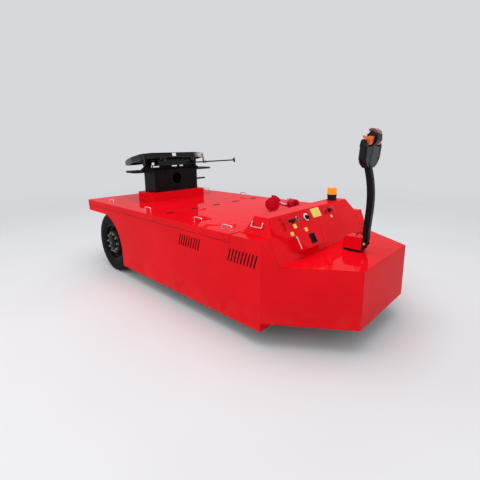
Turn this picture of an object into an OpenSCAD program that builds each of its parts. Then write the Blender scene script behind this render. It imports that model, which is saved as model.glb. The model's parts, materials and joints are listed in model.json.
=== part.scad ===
// Pedestrian-controlled electric tug with a fifth-wheel coupling.
// +X points to the nose, +Y to the vehicle's left, +Z up. Units are millimetres.
// The origin is on the ground, under the centre of the overall length and width.

/* [Overall] */
// Length from the rear edge of the deck to the front of the nose
total_l = 3720; // [3500:10:4000]
// Width over the deck's side flanges
body_w = 1740; // [1640:10:1900]
// Height of the deck above the ground
deck_z = 876; // [850:1:930]
// Height of the side panels' lower edge
body_bottom_z = 134; // [110:1:170]
// Thickness of the body's sheet steel
sheet_t = 4; // [3:0.5:6]

/* [Nose] */
// Length of the tapered nose ahead of the side panels
nose_l = 620; // [560:5:700]
// Width of the nose's front face
nose_front_w = 880; // [760:10:1000]
// Height of the nose's top plates
nose_top_z = 681; // [660:1:710]
// Height of the nose's lower edge
nose_bottom_z = 209; // [190:1:240]
// Forward run of the sloping panel between deck and nose
slope_run = 110; // [90:1:130]

/* [Rear overhang and wheel arch] */
// Height of the lower edge of the side panels behind the wheels
skirt_bottom_z = 731; // [700:1:760]
// Radius of the wheel arch
arch_r = 450; // [430:1:470]
// Distance from the deck's rear edge to the arch's front edge
arch_front = 880; // [860:1:920]
// Height of the arch's centre
arch_z = 287; // [260:1:310]

/* [Deck] */
// Thickness of the deck plates
plate_t = 4; // [3:0.5:6]
// Height of the deck plates' side flanges
flange_h = 68; // [50:1:90]
// Distance from the deck's rear edge to its first cross joint
joint_1 = 1665; // [1500:5:1800]
// Distance from the deck's rear edge to its second cross joint
joint_2 = 2445; // [2300:5:2550]
// Distance from the deck's rear edge to the front plate's end
deck_l = 2775; // [2740:5:2790]
// Gap between neighbouring deck plates
joint_gap = 2; // [1:0.5:4]
// Length of a finger slot, across the deck
slot_l = 100; // [80:1:120]
// Width of a finger slot
slot_w = 28; // [20:1:34]
// Number of finger slots
slot_n = 5; // [3:1:5]
// Distance between finger slots
slot_pitch = 335; // [250:5:340]

/* [Louvres] */
// Number of louvre slots in a set
louvre_n = 9; // [6:1:11]
// Length of a set of louvres
louvre_set_l = 300; // [260:1:320]
// Height of a set of louvres
louvre_h = 112; // [90:1:130]
// Distance from a set's first louvre to the deck joint or console behind it
louvre_set_gap = 680; // [640:5:700]
// Lower edge of the louvres above the ground
louvre_z = 646; // [620:1:660]
// Width of one louvre slot, along the vehicle
louvre_w = 15; // [10:1:17]
// Forward lean of a louvre slot from bottom to top
louvre_lean = 35; // [20:1:45]

/* [Console] */
// Depth of the console at its foot, along the vehicle
console_l = 289; // [270:1:300]
// Depth of the console's top face
console_top_l = 150; // [130:1:170]
// Run of the console's rear face
console_rear_run = 54; // [40:1:64]
// Height of the console's top above the deck
console_h = 131; // [110:1:150]
// Width of the console at its foot
console_w = 1472; // [1400:2:1500]
// Width of the console's top face
console_top_w = 1318; // [1240:2:1360]
// Width of the console's foot flange
console_flange = 26; // [20:1:27]

/* [Fifth wheel] */
// Length of the red riser under the pedestal
riser_l = 378; // [360:2:400]
// Width of the riser
riser_w = 832; // [800:2:860]
// Height of the riser
riser_h = 114; // [100:1:125]
// Distance from the deck's rear edge to the centre of the riser
riser_x = 748; // [730:1:770]
// Length of the black pedestal
pedestal_l = 254; // [240:2:280]
// Width of the pedestal
pedestal_w = 696; // [670:2:720]
// Height of the pedestal
pedestal_h = 265; // [250:1:280]
// Width of the mounting plate
mount_w = 1240; // [1180:10:1280]
// Thickness of the mounting plate
mount_t = 24; // [16:1:28]
// Height of the rocking axis above the mounting plate
pivot_h = 76; // [74:1:90]
// Width of the coupling plate
fifth_w = 1000; // [940:10:1040]
// Length of the coupling plate ahead of the rocking axis
fifth_front = 207; // [190:1:230]
// Length of the coupling plate behind the rocking axis
fifth_rear = 480; // [460:5:520]
// Depth of the coupling plate's rim
fifth_rim = 72; // [60:1:76]
// Height of the coupling surface above the rocking axis
fifth_h = 120; // [112:1:130]
// Rearward tilt of the coupling plate at rest
fifth_tilt = 10; // [8:1:11]
// Radius of the kingpin bore
kingpin_r = 25.7; // [25.5:0.1:26.5]

/* [Wheels] */
// Radius of the rear tyres
tyre_r = 376; // [366:1:384]
// Width of the rear tyres
tyre_w = 205; // [195:1:215]
// Radius of the rear rims' bead seat
rim_r = 222; // [215:1:228]
// Distance from the deck's rear edge to the rear axle
axle_x = 600; // [580:1:620]
// Distance from the deck's side to the outer face of a rear tyre
tyre_inset = 22; // [20:1:34]
// Radius of the drive wheel
drive_r = 150; // [140:1:160]
// Width of the drive wheel
drive_w = 100; // [80:1:110]
// Radius of the rear wheels' brake drums
drum_r = 150; // [140:1:156]

/* [Steering and tiller] */
// Distance from the body's front edge to the steering axis
steer_x = 335; // [310:1:345]
// Length of the red cap over the steering column
cap_l = 160; // [140:1:164]
// Width of the cap
cap_w = 110; // [90:1:130]
// Height of the cap
cap_h = 110; // [90:1:120]
// Gap between the cap and the nose's top plates
cap_gap = 22; // [15:1:30]
// Height of the tiller's hinge pin above the nose's top plates
tiller_pin_h = 77; // [70:1:84]
// Height of the tiller arm from its hinge pin to its head
arm_h = 635; // [600:5:700]
// Forward bow of the tiller arm's control points
arm_bow = 54; // [30:1:70]
// Width of the tiller arm
arm_w = 50; // [44:1:56]
// Width of the tiller head
head_w = 320; // [280:2:340]
// Height of the tiller head
head_h = 268; // [255:1:280]

/* [Charging cover] */
// Distance from the slope's top edge to the cover, along the slope
door_s0 = 44; // [38:1:50]
// Length of the cover down the slope
door_l = 136; // [125:1:145]
// Width of the cover across the vehicle
door_w = 433; // [400:1:460]
// Distance from the vehicle's centre line to the cover's hinge
door_hinge_y = 85; // [75:1:95]
// Height of the cover above the slope
door_h = 55; // [50:1:60]

/* [Hidden] */
$fn = 64;
clear = 0.3;

rear_x = -total_l / 2;
nose_x = total_l / 2;
front_x = nose_x - nose_l;
half_w = body_w / 2 - plate_t;
in_w = half_w - sheet_t;
panel_top_z = deck_z - plate_t;
arch_front_x = rear_x + arch_front;
arch_x = arch_front_x - arch_r;
arch_corner = 34;
wheel_x = rear_x + axle_x;
tyre_out = body_w / 2 - tyre_inset;
nose_half = nose_front_w / 2;
slope_drop = deck_z - nose_top_z;
slope_len = sqrt(slope_run * slope_run + slope_drop * slope_drop);
slope_deg = atan(slope_drop / slope_run);
taper = (half_w + plate_t - nose_half) / nose_l;

// Points of an arc, from one angle to another
function arc(x, y, r, a0, a1, n) =
    [for (i = [0:n]) let (a = a0 + (a1 - a0) * i / n) [x + r * cos(a), y + r * sin(a)]];

// Points of a corner rounded to radius r at b, between the lines from a and to c
function corner(a, b, c, r, n = 6) =
    let (u = (a - b) / norm(a - b), v = (c - b) / norm(c - b), half = acos(u * v) / 2,
         m = (u + v) / norm(u + v),
         o = b + m * r / sin(half), p = b + u * r / tan(half), q = b + v * r / tan(half),
         a0 = atan2(p.y - o.y, p.x - o.x), a1 = atan2(q.y - o.y, q.x - o.x),
         sweep = a1 - a0 > 180 ? a1 - a0 - 360 : a1 - a0 < -180 ? a1 - a0 + 360 : a1 - a0)
    [for (i = [0:n]) o + r * [cos(a0 + sweep * i / n), sin(a0 + sweep * i / n)]];

// A closed outline whose rows are [x, y, corner radius]
function rounded(rows) =
    let (n = len(rows), at = function (i) [rows[i % n].x, rows[i % n].y])
    [for (i = [0:n - 1]) each rows[i][2] > 0 ? corner(at(i + n - 1), at(i), at(i + 1), rows[i][2]) : [at(i)]];

// Extrudes an outline in the X-Z plane across the vehicle, from y0 to y1
module across(y0, y1) translate([0, y1, 0]) rotate([90, 0, 0]) linear_extrude(y1 - y0) children();

// A round bar of radius r from point a to point b
module bar(a, b, r) {
    d = b - a;
    translate(a) rotate([0, acos(d.z / norm(d)), atan2(d.y, d.x)]) cylinder(r = r, h = norm(d));
}

// A shaft along Y between y0 and y1
module shaft(r, y0, y1) translate([0, y0, 0]) rotate([-90, 0, 0]) cylinder(r = r, h = y1 - y0);

// A box from its lowest to its highest corner
module block(low, high) translate(low) cube(high - low);

// Repeats on the vehicle's left and right
module both_sides() {
    children();
    mirror([0, 1, 0]) children();
}

// Side panel outline in X and Z, from the skirt round the wheel arch to the front edge
function side_outline() = [
    [rear_x, skirt_bottom_z], [rear_x, panel_top_z], [front_x, panel_top_z], [front_x, body_bottom_z],
    each corner([front_x, body_bottom_z], [arch_front_x, body_bottom_z], [arch_front_x, arch_z], arch_corner),
    each arc(arch_x, arch_z, arch_r, 0, skirt_angle, 16)];

// The front set of louvres starts below the front plate's end
louvre_sets = [deck_l - louvre_set_gap, deck_l];

module louvre_set(x0) {
    pitch = (louvre_set_l - louvre_w) / (louvre_n - 1);
    intersection() {
        translate([x0 - louvre_lean, louvre_z]) square([louvre_set_l + louvre_lean, louvre_h]);
        for (i = [0:louvre_n - 1])
            translate([x0 + i * pitch, louvre_z])
                polygon([
                    [-louvre_lean, 0], [louvre_w - louvre_lean, 0], [louvre_w, louvre_h], [0, louvre_h]]);
    }
}

lip_clear = 6;
lip_w = in_w - tyre_out - lip_clear;
skirt_angle = asin((skirt_bottom_z - arch_z) / arch_r);
module side_panel() color("red") {
    across(-half_w, -in_w) difference() {
        polygon(side_outline());
        for (d = louvre_sets) louvre_set(rear_x + d);
    }
    across(-in_w, -in_w + lip_w) polygon(concat(
        arc(arch_x, arch_z, arch_r, 0, skirt_angle, 16),
        arc(arch_x, arch_z, arch_r + sheet_t, skirt_angle, 0, 16)));
}

module side_panel_right() side_panel();
module side_panel_left() mirror([0, 1, 0]) side_panel();

module front_wall() color("red")
    block([front_x - sheet_t, -in_w, body_bottom_z], [front_x, in_w, panel_top_z - plate_t]);

wheel_gap = 30;
bulkhead_x = wheel_x + tyre_r + wheel_gap;
module arch_bulkhead() color("dimgray")
    block([bulkhead_x, -in_w, body_bottom_z + sheet_t], [bulkhead_x + sheet_t, in_w, panel_top_z]);

module rear_wall() color("red") block([rear_x, -in_w, skirt_bottom_z], [rear_x + sheet_t, in_w, panel_top_z]);

module floor_pan() color("dimgray")
    block([bulkhead_x, -in_w, body_bottom_z], [front_x - sheet_t, in_w, body_bottom_z + sheet_t]);

rail_y = 390;
rail_w = 80;
rail_z = 600;
rail_t = 8;
module rear_rails() color("dimgray") both_sides() difference() {
    block([rear_x + sheet_t, rail_y - rail_w / 2, rail_z], [bulkhead_x, rail_y + rail_w / 2, panel_top_z]);
    block([rear_x, rail_y - rail_w / 2 + rail_t, rail_z + rail_t],
        [bulkhead_x + 1, rail_y + rail_w / 2 - rail_t, panel_top_z - rail_t]);
}

axle_half = 55;
axle_t = 10;
axle_bore = axle_half - axle_t;
spindle_r = 45;
wheel_y = tyre_out - tyre_w / 2;
hub_in = 60;
spindle_out = 36;
drum_w = 70;
drum_gap = 6;
drum_step = 25;
drum_out = wheel_y - hub_in - drum_gap;
spring_pad = 90;
// Square axle tube with its mounting brackets, brake drums and spindles
module rear_axle() color("dimgray") translate([wheel_x, 0, tyre_r]) {
    difference() {
        block([-axle_half, drum_w - drum_out, -axle_half], [axle_half, drum_out - drum_w, axle_half]);
        block([-axle_bore, -drum_out, -axle_bore], [axle_bore, drum_out, axle_bore]);
    }
    both_sides() {
        across(rail_y - rail_w / 2, rail_y + rail_w / 2) polygon([
            [-spring_pad, axle_half], [spring_pad, axle_half],
            [axle_half, rail_z - tyre_r], [-axle_half, rail_z - tyre_r]]);
        shaft(drum_r, drum_out - drum_w, drum_out - drum_w / 3);
        shaft(drum_r - drum_step, drum_out - drum_w / 3, drum_out);
        shaft(spindle_r, drum_out, wheel_y + spindle_out);
    }
}

// Channels under the deck's cross joints, open at the top
beam_w = 80;
beam_h = 60;
beam_t = 5;
beam_low = panel_top_z - beam_h;
module deck_beams() color("dimgray") for (d = [joint_1, joint_2])
    translate([rear_x + d, 0, 0]) across(-in_w, in_w) polygon([
        [-beam_w / 2, panel_top_z], [-beam_w / 2, beam_low],
        [beam_w / 2, beam_low], [beam_w / 2, panel_top_z],
        [beam_w / 2 - beam_t, panel_top_z], [beam_w / 2 - beam_t, beam_low + beam_t],
        [beam_t - beam_w / 2, beam_low + beam_t], [beam_t - beam_w / 2, panel_top_z]]);

battery_gap = 160;
battery_w = 800;
battery_l = 900;
battery_h = 560;
module battery_block() color("slategray")
    translate([bulkhead_x + battery_gap, -battery_w / 2, body_bottom_z + sheet_t])
        cube([battery_l, battery_w, battery_h]);

// Deck plate between two distances from the rear edge, with a flange down each side
module deck_plate(x0, x1) {
    difference() {
        union() {
            block([rear_x + x0, -body_w / 2, deck_z - plate_t], [rear_x + x1, body_w / 2, deck_z]);
            both_sides()
                block([rear_x + x0, half_w, deck_z - flange_h], [rear_x + x1, body_w / 2, deck_z - plate_t]);
        }
        for (i = [0:slot_n - 1])
            translate([rear_x + joint_1, (i - (slot_n - 1) / 2) * slot_pitch, deck_z - plate_t - 1])
                linear_extrude(plate_t + 2) finger_slot();
    }
}

module finger_slot() {
    for (s = [-1, 1]) translate([0, s * (slot_l - slot_w) / 2]) circle(d = slot_w);
    square([slot_w, slot_l - slot_w], center = true);
}

module deck_plate_rear() color("red") deck_plate(0, joint_1 - joint_gap / 2);
module deck_plate_middle() color("red") deck_plate(joint_1 + joint_gap / 2, joint_2 - joint_gap / 2);
module deck_plate_front() color("red") deck_plate(joint_2 + joint_gap / 2, deck_l);

// A U-shaped grip of round bar, along X, standing on z = 0
module grip(length, height, d, foot_r) {
    bend = d * 1.2;
    for (s = [-1, 1]) translate([s * length / 2, 0, 0]) {
        cylinder(d = d, h = height - bend);
        cylinder(r = foot_r, h = 4);
        translate([-s * bend, 0, height - bend]) rotate([90, 0, 0])
            rotate(s > 0 ? 0 : 90) rotate_extrude(angle = 90) translate([bend, 0]) circle(d = d, $fn = 24);
    }
    translate([-length / 2 + bend, 0, height]) rotate([0, 90, 0]) cylinder(d = d, h = length - 2 * bend);
}

// Grips on the deck: distance from the rear edge, distance from the deck's side, turn about Z
deck_grips = [[557, 74, 0], [1390, 92, 0], [2238, 114, 0], [2661, 85, 0]];
grip_l = 110;
grip_rise = 42;
grip_d = 10;
grip_foot = 11;
module deck_handles() color("silver") both_sides() for (g = deck_grips)
    translate([rear_x + g[0], g[1] - body_w / 2, deck_z]) rotate(g[2])
        grip(grip_l, grip_rise, grip_d, grip_foot);

cover_z = panel_top_z;
module front_cover() color("red")
    block([rear_x + deck_l + joint_gap, -in_w, cover_z - plate_t], [front_x, in_w, cover_z]);

console_x1 = front_x - 4;
console_x0 = console_x1 - console_l;

// Corners of the console's foot and top, grown by g
function corners(x0, x1, w) = [[x0, -w], [x1, -w], [x1, w], [x0, w]];
function console_low(g) = corners(console_x0 - g, console_x1 + g, console_w / 2 + g);
function console_high(g) = let (x = console_x0 + console_rear_run)
    corners(x - g, x + console_top_l + g, console_top_w / 2 + g);
console_top_z = deck_z + console_h;

module console_solid(g, z0, z1) polyhedron(
    points = concat([for (p = console_low(g)) [p.x, p.y, z0]], [for (p = console_high(g)) [p.x, p.y, z1]]),
    faces = [[0, 1, 2, 3], [7, 6, 5, 4], [4, 5, 1, 0], [5, 6, 2, 1], [6, 7, 3, 2], [7, 4, 0, 3]]);

flange_r = 24;
module console() color("red") {
    difference() {
        console_solid(0, cover_z, console_top_z);
        console_solid(-sheet_t, cover_z - 1, console_top_z - sheet_t);
    }
    difference() {
        translate([0, 0, cover_z]) linear_extrude(sheet_t) polygon(rounded([
            [console_x0 - console_flange, -console_w / 2 - console_flange, flange_r],
            [console_x1, -console_w / 2 - console_flange, flange_r],
            [console_x1, console_w / 2 + console_flange, flange_r],
            [console_x0 - console_flange, console_w / 2 + console_flange, flange_r]]));
        console_solid(-1, cover_z - 1, console_top_z - sheet_t);
    }
}

end_lean = atan((console_w - console_top_w) / 2 / (console_top_z - cover_z));
front_run = console_l - console_rear_run - console_top_l;
front_lean = atan(front_run / (console_top_z - cover_z));
front_len = norm([front_run, console_top_z - cover_z]);

// Places children on the console's front face: z out of it, y across, t up from its foot along -x
module on_console_front(t, y)
    translate([console_x1, y, cover_z]) rotate([0, -front_lean, 0])
        translate([0, 0, t]) rotate([0, 90, 0]) children();

// Places children on the console's right end face: z out of it, x along the vehicle, t up from its foot
module on_console_end(x, t)
    translate([x, -console_w / 2, cover_z]) rotate([-end_lean, 0, 0])
        translate([0, 0, t]) rotate([90, 0, 0]) children();

// Drop handles that hang against the console's end faces
drop_l = 112;
drop_d = 9;
drop_h = 40;
drop_t = 100;
drop_x = 120;
eye_h = 16;
module console_handles() color("silver") both_sides() on_console_end(console_x0 + drop_x, drop_t) {
    for (s = [-1, 1]) translate([s * drop_l / 2, 0, 0]) cylinder(d = drop_d * 1.6, h = eye_h);
    translate([0, 0, eye_h - drop_d / 2]) rotate([90, 0, 0]) grip(drop_l, drop_h, drop_d, drop_d / 2);
}

lever_y = -385;
lever_t = 86;
knob_r = 15;
rod_y = -532;
key_y = -172;
key_t = 85;
module console_controls() color("black") {
    // Lever with a round knob, leaning to the right from its boot
    on_console_front(lever_t, lever_y) {
        cylinder(r1 = 17, r2 = 9, h = 14);
        bar([0, 0, 8], [0, -70, 34], 5);
        translate([0, -76, 36]) sphere(r = knob_r);
    }
    // Slim stay down the face
    on_console_front(front_len / 2, rod_y) grip(104, 12, 6, 6);
    // Key switch
    on_console_front(key_t, key_y) {
        cylinder(r = 22, h = 9);
        cylinder(r = 15, h = 20);
        translate([-2, -5, 19]) cube([34, 4, 14]);
    }
    // Toggle
    on_console_front(96, -345) {
        cylinder(r = 9, h = 7);
        bar([0, 0, 6], [6, 4, 30], 3.5);
    }
}

// Two rocker switches in collars
module console_switches() color("red") for (at = [[100, -306], [72, -288]]) on_console_front(at.x, at.y) {
    cylinder(r = 15, h = 6);
    translate([-10, -9, 5]) cube([20, 18, 16]);
}

stop_t = 90;
stop_y = 234;
module emergency_stop() color("red") on_console_front(stop_t, stop_y) rotate_extrude() polygon([
    [0, 0], [20, 0], [20, 6], [13, 8], [13, 32], [22, 36], [27, 42], [27, 50], [20, 57], [10, 60], [0, 60]]);

beacon_y = 497;
beacon_r = 50;
beacon_x = console_x0 + console_rear_run + console_top_l / 2;
beacon_base_h = 62;
beacon_lens_h = 76;
module beacon_base() color("black") translate([beacon_x, beacon_y, console_top_z]) rotate_extrude() polygon([
    [0, 0], [beacon_r + 3, 0], [beacon_r + 3, 6], [beacon_r - 5, 9], [beacon_r - 2, beacon_base_h - 8],
    [beacon_r + 1, beacon_base_h - 8], [beacon_r + 1, beacon_base_h], [0, beacon_base_h]]);

lens_dome = 14;
rib_n = 6;
lens_wall_h = beacon_lens_h - lens_dome;
module beacon_lens() color("orange") translate([beacon_x, beacon_y, console_top_z + beacon_base_h])
    rotate_extrude() polygon([
        [0, 0],
        for (i = [0:rib_n - 1], q = [[0, 0], [0.5, -2]]) [beacon_r + q.y, lens_wall_h * (i + q.x) / rib_n],
        each arc(beacon_r - lens_dome, lens_wall_h, lens_dome, 0, 80, 6), [0, beacon_lens_h]]);

// Air couplings parked behind the console: a round body with a fan-shaped detent plate, a ribbed one, a tube
coupling_r = 78;
coupling_t = 46;
coupling_at = [rear_x + joint_2 - 30, 150, deck_z + coupling_r];
coupling_turn = 36;
detent_r = 94;
detent_t = 12;
module palm_body() {
    cylinder(r = coupling_r, h = coupling_t);
    translate([0, 0, coupling_t]) cylinder(r1 = 46, r2 = 40, h = 12);
    translate([0, 0, -detent_t]) linear_extrude(detent_t + 0.5) intersection() {
        circle(r = detent_r);
        polygon([[0, 0], [120, 40], [120, 130], [-20, 130]]);
    }
}

rib_r = 56;
ribbed_turn = 70;
ribbed_n = 5;
ribbed_pitch = 18;
ribbed_core = 18;
tube_r = 15;
// One rib of the ribbed coupling: distance from its rim, then along its axis
ribbed_rib = [[0, 0], [0, 12], [-8, 14], [-8, 18]];
ribbed_at = coupling_at + [60, 260, rib_r - coupling_r];
module deck_couplings() color("red") {
    translate(coupling_at) rotate([90, 0, coupling_turn]) palm_body();
    translate(ribbed_at) rotate([90, 0, ribbed_turn]) rotate_extrude() polygon([
        [ribbed_core, 0],
        for (i = [0:ribbed_n - 1], q = ribbed_rib) [rib_r + q.x, i * ribbed_pitch + q.y],
        [ribbed_core, ribbed_n * ribbed_pitch]]);
    bar(coupling_at + [40, 40, 6], coupling_at + [76, 196, -44], tube_r);
}

// Plan outline of the nose, inset by g
function nose_plan(x0, g) = [
    [x0, -body_w / 2 + taper * (x0 - front_x) + g], [nose_x, -nose_half + g], [nose_x, nose_half - g],
    [x0, body_w / 2 - taper * (x0 - front_x) - g]];

wall_g = sheet_t * sqrt(1 + taper * taper);
module nose_prism(g) translate([0, 0, -1]) linear_extrude(deck_z + 2) polygon(nose_plan(front_x, g));

// Foot of the slope, and the undersides that meet there
foot_x = front_x + slope_run;
top_under = nose_top_z - sheet_t;
slope_foot_under = foot_x - sheet_t * (slope_len - slope_run) / slope_drop;
module nose_side() color("red") intersection() {
    difference() {
        nose_prism(0);
        nose_prism(wall_g);
    }
    across(-body_w, 0) polygon([
        [front_x, nose_bottom_z], [front_x, deck_z - sheet_t * slope_len / slope_run],
        [slope_foot_under, top_under], [nose_x - sheet_t, top_under], [nose_x - sheet_t, nose_bottom_z]]);
}

module nose_side_right() nose_side();
module nose_side_left() mirror([0, 1, 0]) nose_side();

module nose_front() color("red")
    block([nose_x - sheet_t, -nose_half, nose_bottom_z], [nose_x, nose_half, top_under]);

spindle_hole = 52;
module nose_top() color("red") difference() {
    translate([0, 0, top_under]) linear_extrude(sheet_t) polygon([
        [foot_x, -joint_gap / 4], [foot_x, nose_plan(foot_x, 0)[0].y],
        [nose_x, -nose_half], [nose_x, -joint_gap / 4]]);
    translate([front_x + steer_x, 0, top_under - 1]) cylinder(r = spindle_hole, h = sheet_t + 2);
}

module nose_top_right() nose_top();
module nose_top_left() mirror([0, 1, 0]) nose_top();

module slope_sheet() intersection() {
    nose_prism(0);
    across(-body_w, body_w) polygon([
        [front_x, deck_z], [foot_x, nose_top_z], [foot_x, top_under],
        [slope_foot_under, top_under], [front_x, deck_z - sheet_t * slope_len / slope_run]]);
}

module slope_panel() color("red") {
    slope_sheet();
    at_door() translate([hinge_z, 0, knuckle[1] + clear]) {
        translate([0, hinge_y, 0]) cylinder(r = hinge_r, h = knuckle[2] - knuckle[1] - clear);
        block([-hinge_z, hinge_y, 0], [0, hinge_y + hinge_r, knuckle[2] - knuckle[1] - clear]);
        translate([0, hinge_y, knuckle[0] - knuckle[1]])
            cylinder(r = hinge_pin_r, h = knuckle[3] - knuckle[0]);
    }
}

// Places children on the slope: x is out of the surface, y across, z up the slope, from the slope's top edge
module on_slope(s, y)
    translate([front_x + s * slope_run / slope_len, y, deck_z - s * slope_drop / slope_len])
        rotate([0, slope_deg - 90, 0]) children();

door_y1 = -door_hinge_y;
door_y0 = door_y1 - door_w;
hinge_r = 6;
hinge_pin_r = 3;
hinge_y = door_y1 + hinge_r + clear;
hinge_z = hinge_r + clear;
knuckle = [16, 54, 82, 120];
panel_w = 61;
panel_gap = 5;
panel_r = 8;
// Places children at the cover: x out of the slope, y across, z up the slope from the cover's lower edge
module at_door() on_slope(door_s0 + door_l, 0) children();

module charge_door() color("red") at_door() difference() {
    union() {
        difference() {
            block([clear, door_y0, 0], [door_h, door_y1, door_l]);
            block([-1, door_y0 + sheet_t, sheet_t], [door_h - sheet_t, door_y1 - sheet_t, door_l - sheet_t]);
        }
        translate([door_h, 0, 0]) rotate([0, 90, 0]) linear_extrude(2) polygon(rounded([
            [panel_gap - door_l, door_y1 - panel_w, panel_r],
            [panel_gap - door_l, door_y1 - panel_gap, panel_r],
            [-panel_gap, door_y1 - panel_gap, panel_r],
            [-panel_gap, door_y1 - panel_w, panel_r]]));
        for (z = [knuckle[0], knuckle[2] + clear]) translate([hinge_z, 0, z]) {
            translate([0, hinge_y, 0]) cylinder(r = hinge_r, h = knuckle[1] - knuckle[0] - clear);
            block([-3, door_y1 - 1, 0], [3, hinge_y, knuckle[1] - knuckle[0] - clear]);
        }
    }
    translate([hinge_z, hinge_y, -1]) cylinder(r = hinge_pin_r + 0.1, h = door_l + 2);
}

// U-shaped bar on the cover's right end, standing above its face on two pads
handle_d = 9;
handle_l = 104;
handle_foot = 18;
pad_r = 7;
pad_h = 24;
module charge_door_handle() color("silver")
    on_slope(door_s0 + door_l / 2, door_y0 - handle_d / 2 - clear) rotate([0, 90, 0]) {
        translate([0, 0, handle_foot]) grip(handle_l, door_h - 1, handle_d, handle_d / 2);
        for (s = [-1, 1]) translate([s * handle_l / 2, handle_d / 2 + clear, pad_h])
            rotate([90, 0, 0]) cylinder(r = pad_r, h = handle_d);
    }

// Ribbed black grille on the cover
grille_y = [-333, -262];
grille_z = [26, 110];
grille_h = 8;
grille_n = 5;
grille_slot = 8;
grille_pitch = (grille_y[1] - grille_y[0]) / (grille_n + 1);
grille_rim = 6;
grille_base = 3;
module charge_grille() color("black") at_door() difference() {
    block([door_h, grille_y[0], grille_z[0]], [door_h + grille_h, grille_y[1], grille_z[1]]);
    for (i = [1:grille_n], y = [grille_y[0] + i * grille_pitch - grille_slot / 2])
        translate([door_h + grille_base, y, grille_z[0] + grille_rim])
            cube([grille_h, grille_slot, grille_z[1] - grille_z[0] - 2 * grille_rim]);
}

fork_top_z = 330;
steer_plate_z = 365;
steer_plate_t = 15;
steer_bore = 60;
plate_front = nose_half - wall_g + sheet_t * taper;
module steer_plate() color("dimgray") difference() {
    translate([0, 0, steer_plate_z]) linear_extrude(steer_plate_t) polygon([
        for (p = nose_plan(front_x, wall_g))
            p.x > front_x + 1 ? [nose_x - sheet_t, sign(p.y) * plate_front] : p]);
    translate([front_x + steer_x, 0, steer_plate_z - 1]) cylinder(r = steer_bore, h = steer_plate_t + 2);
}

riser_cx = rear_x + riser_x;
riser_top = deck_z + riser_h;
riser_t = 6;
// A block centred on the riser, from height z0 to z1
module at_riser(l, w, z0, z1) block([riser_cx - l / 2, -w / 2, z0], [riser_cx + l / 2, w / 2, z1]);
module riser() color("red") difference() {
    at_riser(riser_l, riser_w, deck_z, riser_top);
    at_riser(riser_l - 2 * riser_t, riser_w - 2 * riser_t, deck_z - 1, riser_top - riser_t);
}

pedestal_top = riser_top + pedestal_h;
wall_t = 10;
pedestal_hole_r = 72;
pedestal_hole_drop = 97;
stub_r = 12;
stub_l = 215;
stub_x = 40;
stub_drop = 4;
module pedestal() color("black") difference() {
    union() {
        at_riser(pedestal_l, pedestal_w, riser_top, pedestal_top);
        translate([riser_cx + stub_x, 0, riser_top + pedestal_h / 2 - stub_drop])
            shaft(stub_r, pedestal_w / 2 - wall_t / 2, pedestal_w / 2 + stub_l);
    }
    at_riser(pedestal_l - 2 * wall_t, pedestal_w - 2 * wall_t, riser_top - 1, pedestal_top + 1);
    translate([riser_cx - pedestal_l, 0, pedestal_top - pedestal_hole_drop])
        rotate([0, 90, 0]) cylinder(r = pedestal_hole_r, h = 2 * pedestal_l);
}

mount_top = pedestal_top + mount_t;
mount_holes = [460, 560];
mount_hole_r = 24;
mount_corner = 34;
module mount_plate() color("black") translate([riser_cx, 0, pedestal_top]) difference() {
    linear_extrude(mount_t) polygon(rounded([
        for (p = corners(-pedestal_l / 2, pedestal_l / 2, mount_w / 2)) [p.x, p.y, mount_corner]]));
    both_sides() for (y = mount_holes) translate([0, y, -1]) cylinder(r = mount_hole_r, h = mount_t + 2);
}

pivot_z = mount_top + pivot_h;
bracket_y = 370;
bracket_t = 60;
web_t = 34;
foot_t = 14;
foot_l = 110;
pin_r = 20;
boss_r = 38;
ear_t = 12;
ear_gap = 1;
foot_ease = 20;
side_rib_x = [-42, 30];
side_rib_t = 12;
side_rib_h = 24;
bracket_in = bracket_y - bracket_t / 2;
bracket_out = bracket_y + bracket_t / 2;
ear_in = bracket_in - ear_gap - ear_t;
ear_out = bracket_out + ear_gap;
pin_end = 2;
// Rocker brackets: a bolted foot, a tapered web, a boss round the rocking pin and two side ribs
module rocker_brackets() color("black") translate([riser_cx, 0, 0]) both_sides() {
    block([-foot_l, bracket_in, mount_top], [foot_l, bracket_out, mount_top + foot_t]);
    across(bracket_y - web_t / 2, bracket_y + web_t / 2) polygon([
        [foot_ease - foot_l, mount_top + foot_t], [foot_l - foot_ease, mount_top + foot_t],
        each arc(0, pivot_z, boss_r, 20, 160, 12)]);
    for (x = side_rib_x) translate([x, 0, mount_top + foot_t])
        block([0, bracket_in, 0], [side_rib_t, bracket_out, side_rib_h]);
    translate([0, 0, pivot_z]) {
        shaft(boss_r, bracket_in, bracket_out);
        shaft(pin_r, ear_in - pin_end, ear_out + ear_t + pin_end);
    }
}

slot_half = kingpin_r + 1.5;
fifth_top_t = 12;
skirt_t = 14;
nose_edge = 347;
horn_out = 430;
horn_in = 250;
throat_x = -120;
shoulder_x = fifth_front - 110;
throat_slope = (horn_in - slot_half - 8) / (fifth_rear + throat_x);
// Coupling plate outline inset by g, right half, from the front edge to the throat: [x, y, corner radius]
function fifth_half(g) = [
    [fifth_front - g, -nose_edge + g / 2, 40 - g / 2], [shoulder_x - g / 2, -fifth_w / 2 + g, 60 - g],
    [-150, -fifth_w / 2 + g, 80], [-fifth_rear + g, -horn_out + g, 50 - g],
    [-fifth_rear + g, -horn_in - g * (sqrt(1 + throat_slope * throat_slope) - throat_slope), 40 - g],
    [throat_x, -slot_half - 8 - g, 30]];
function flip_rows(rows) = [for (i = [len(rows) - 1:-1:0]) [rows[i].x, -rows[i].y, rows[i][2]]];
function fifth_outline(g) = rounded(concat(
    fifth_half(g), [for (p = arc(0, 0, slot_half + g, -90, 90, 12)) [p.x, p.y, 0]],
    flip_rows(fifth_half(g))));

module at_pivot() translate([riser_cx, 0, pivot_z]) rotate([0, -fifth_tilt, 0]) children();

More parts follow.
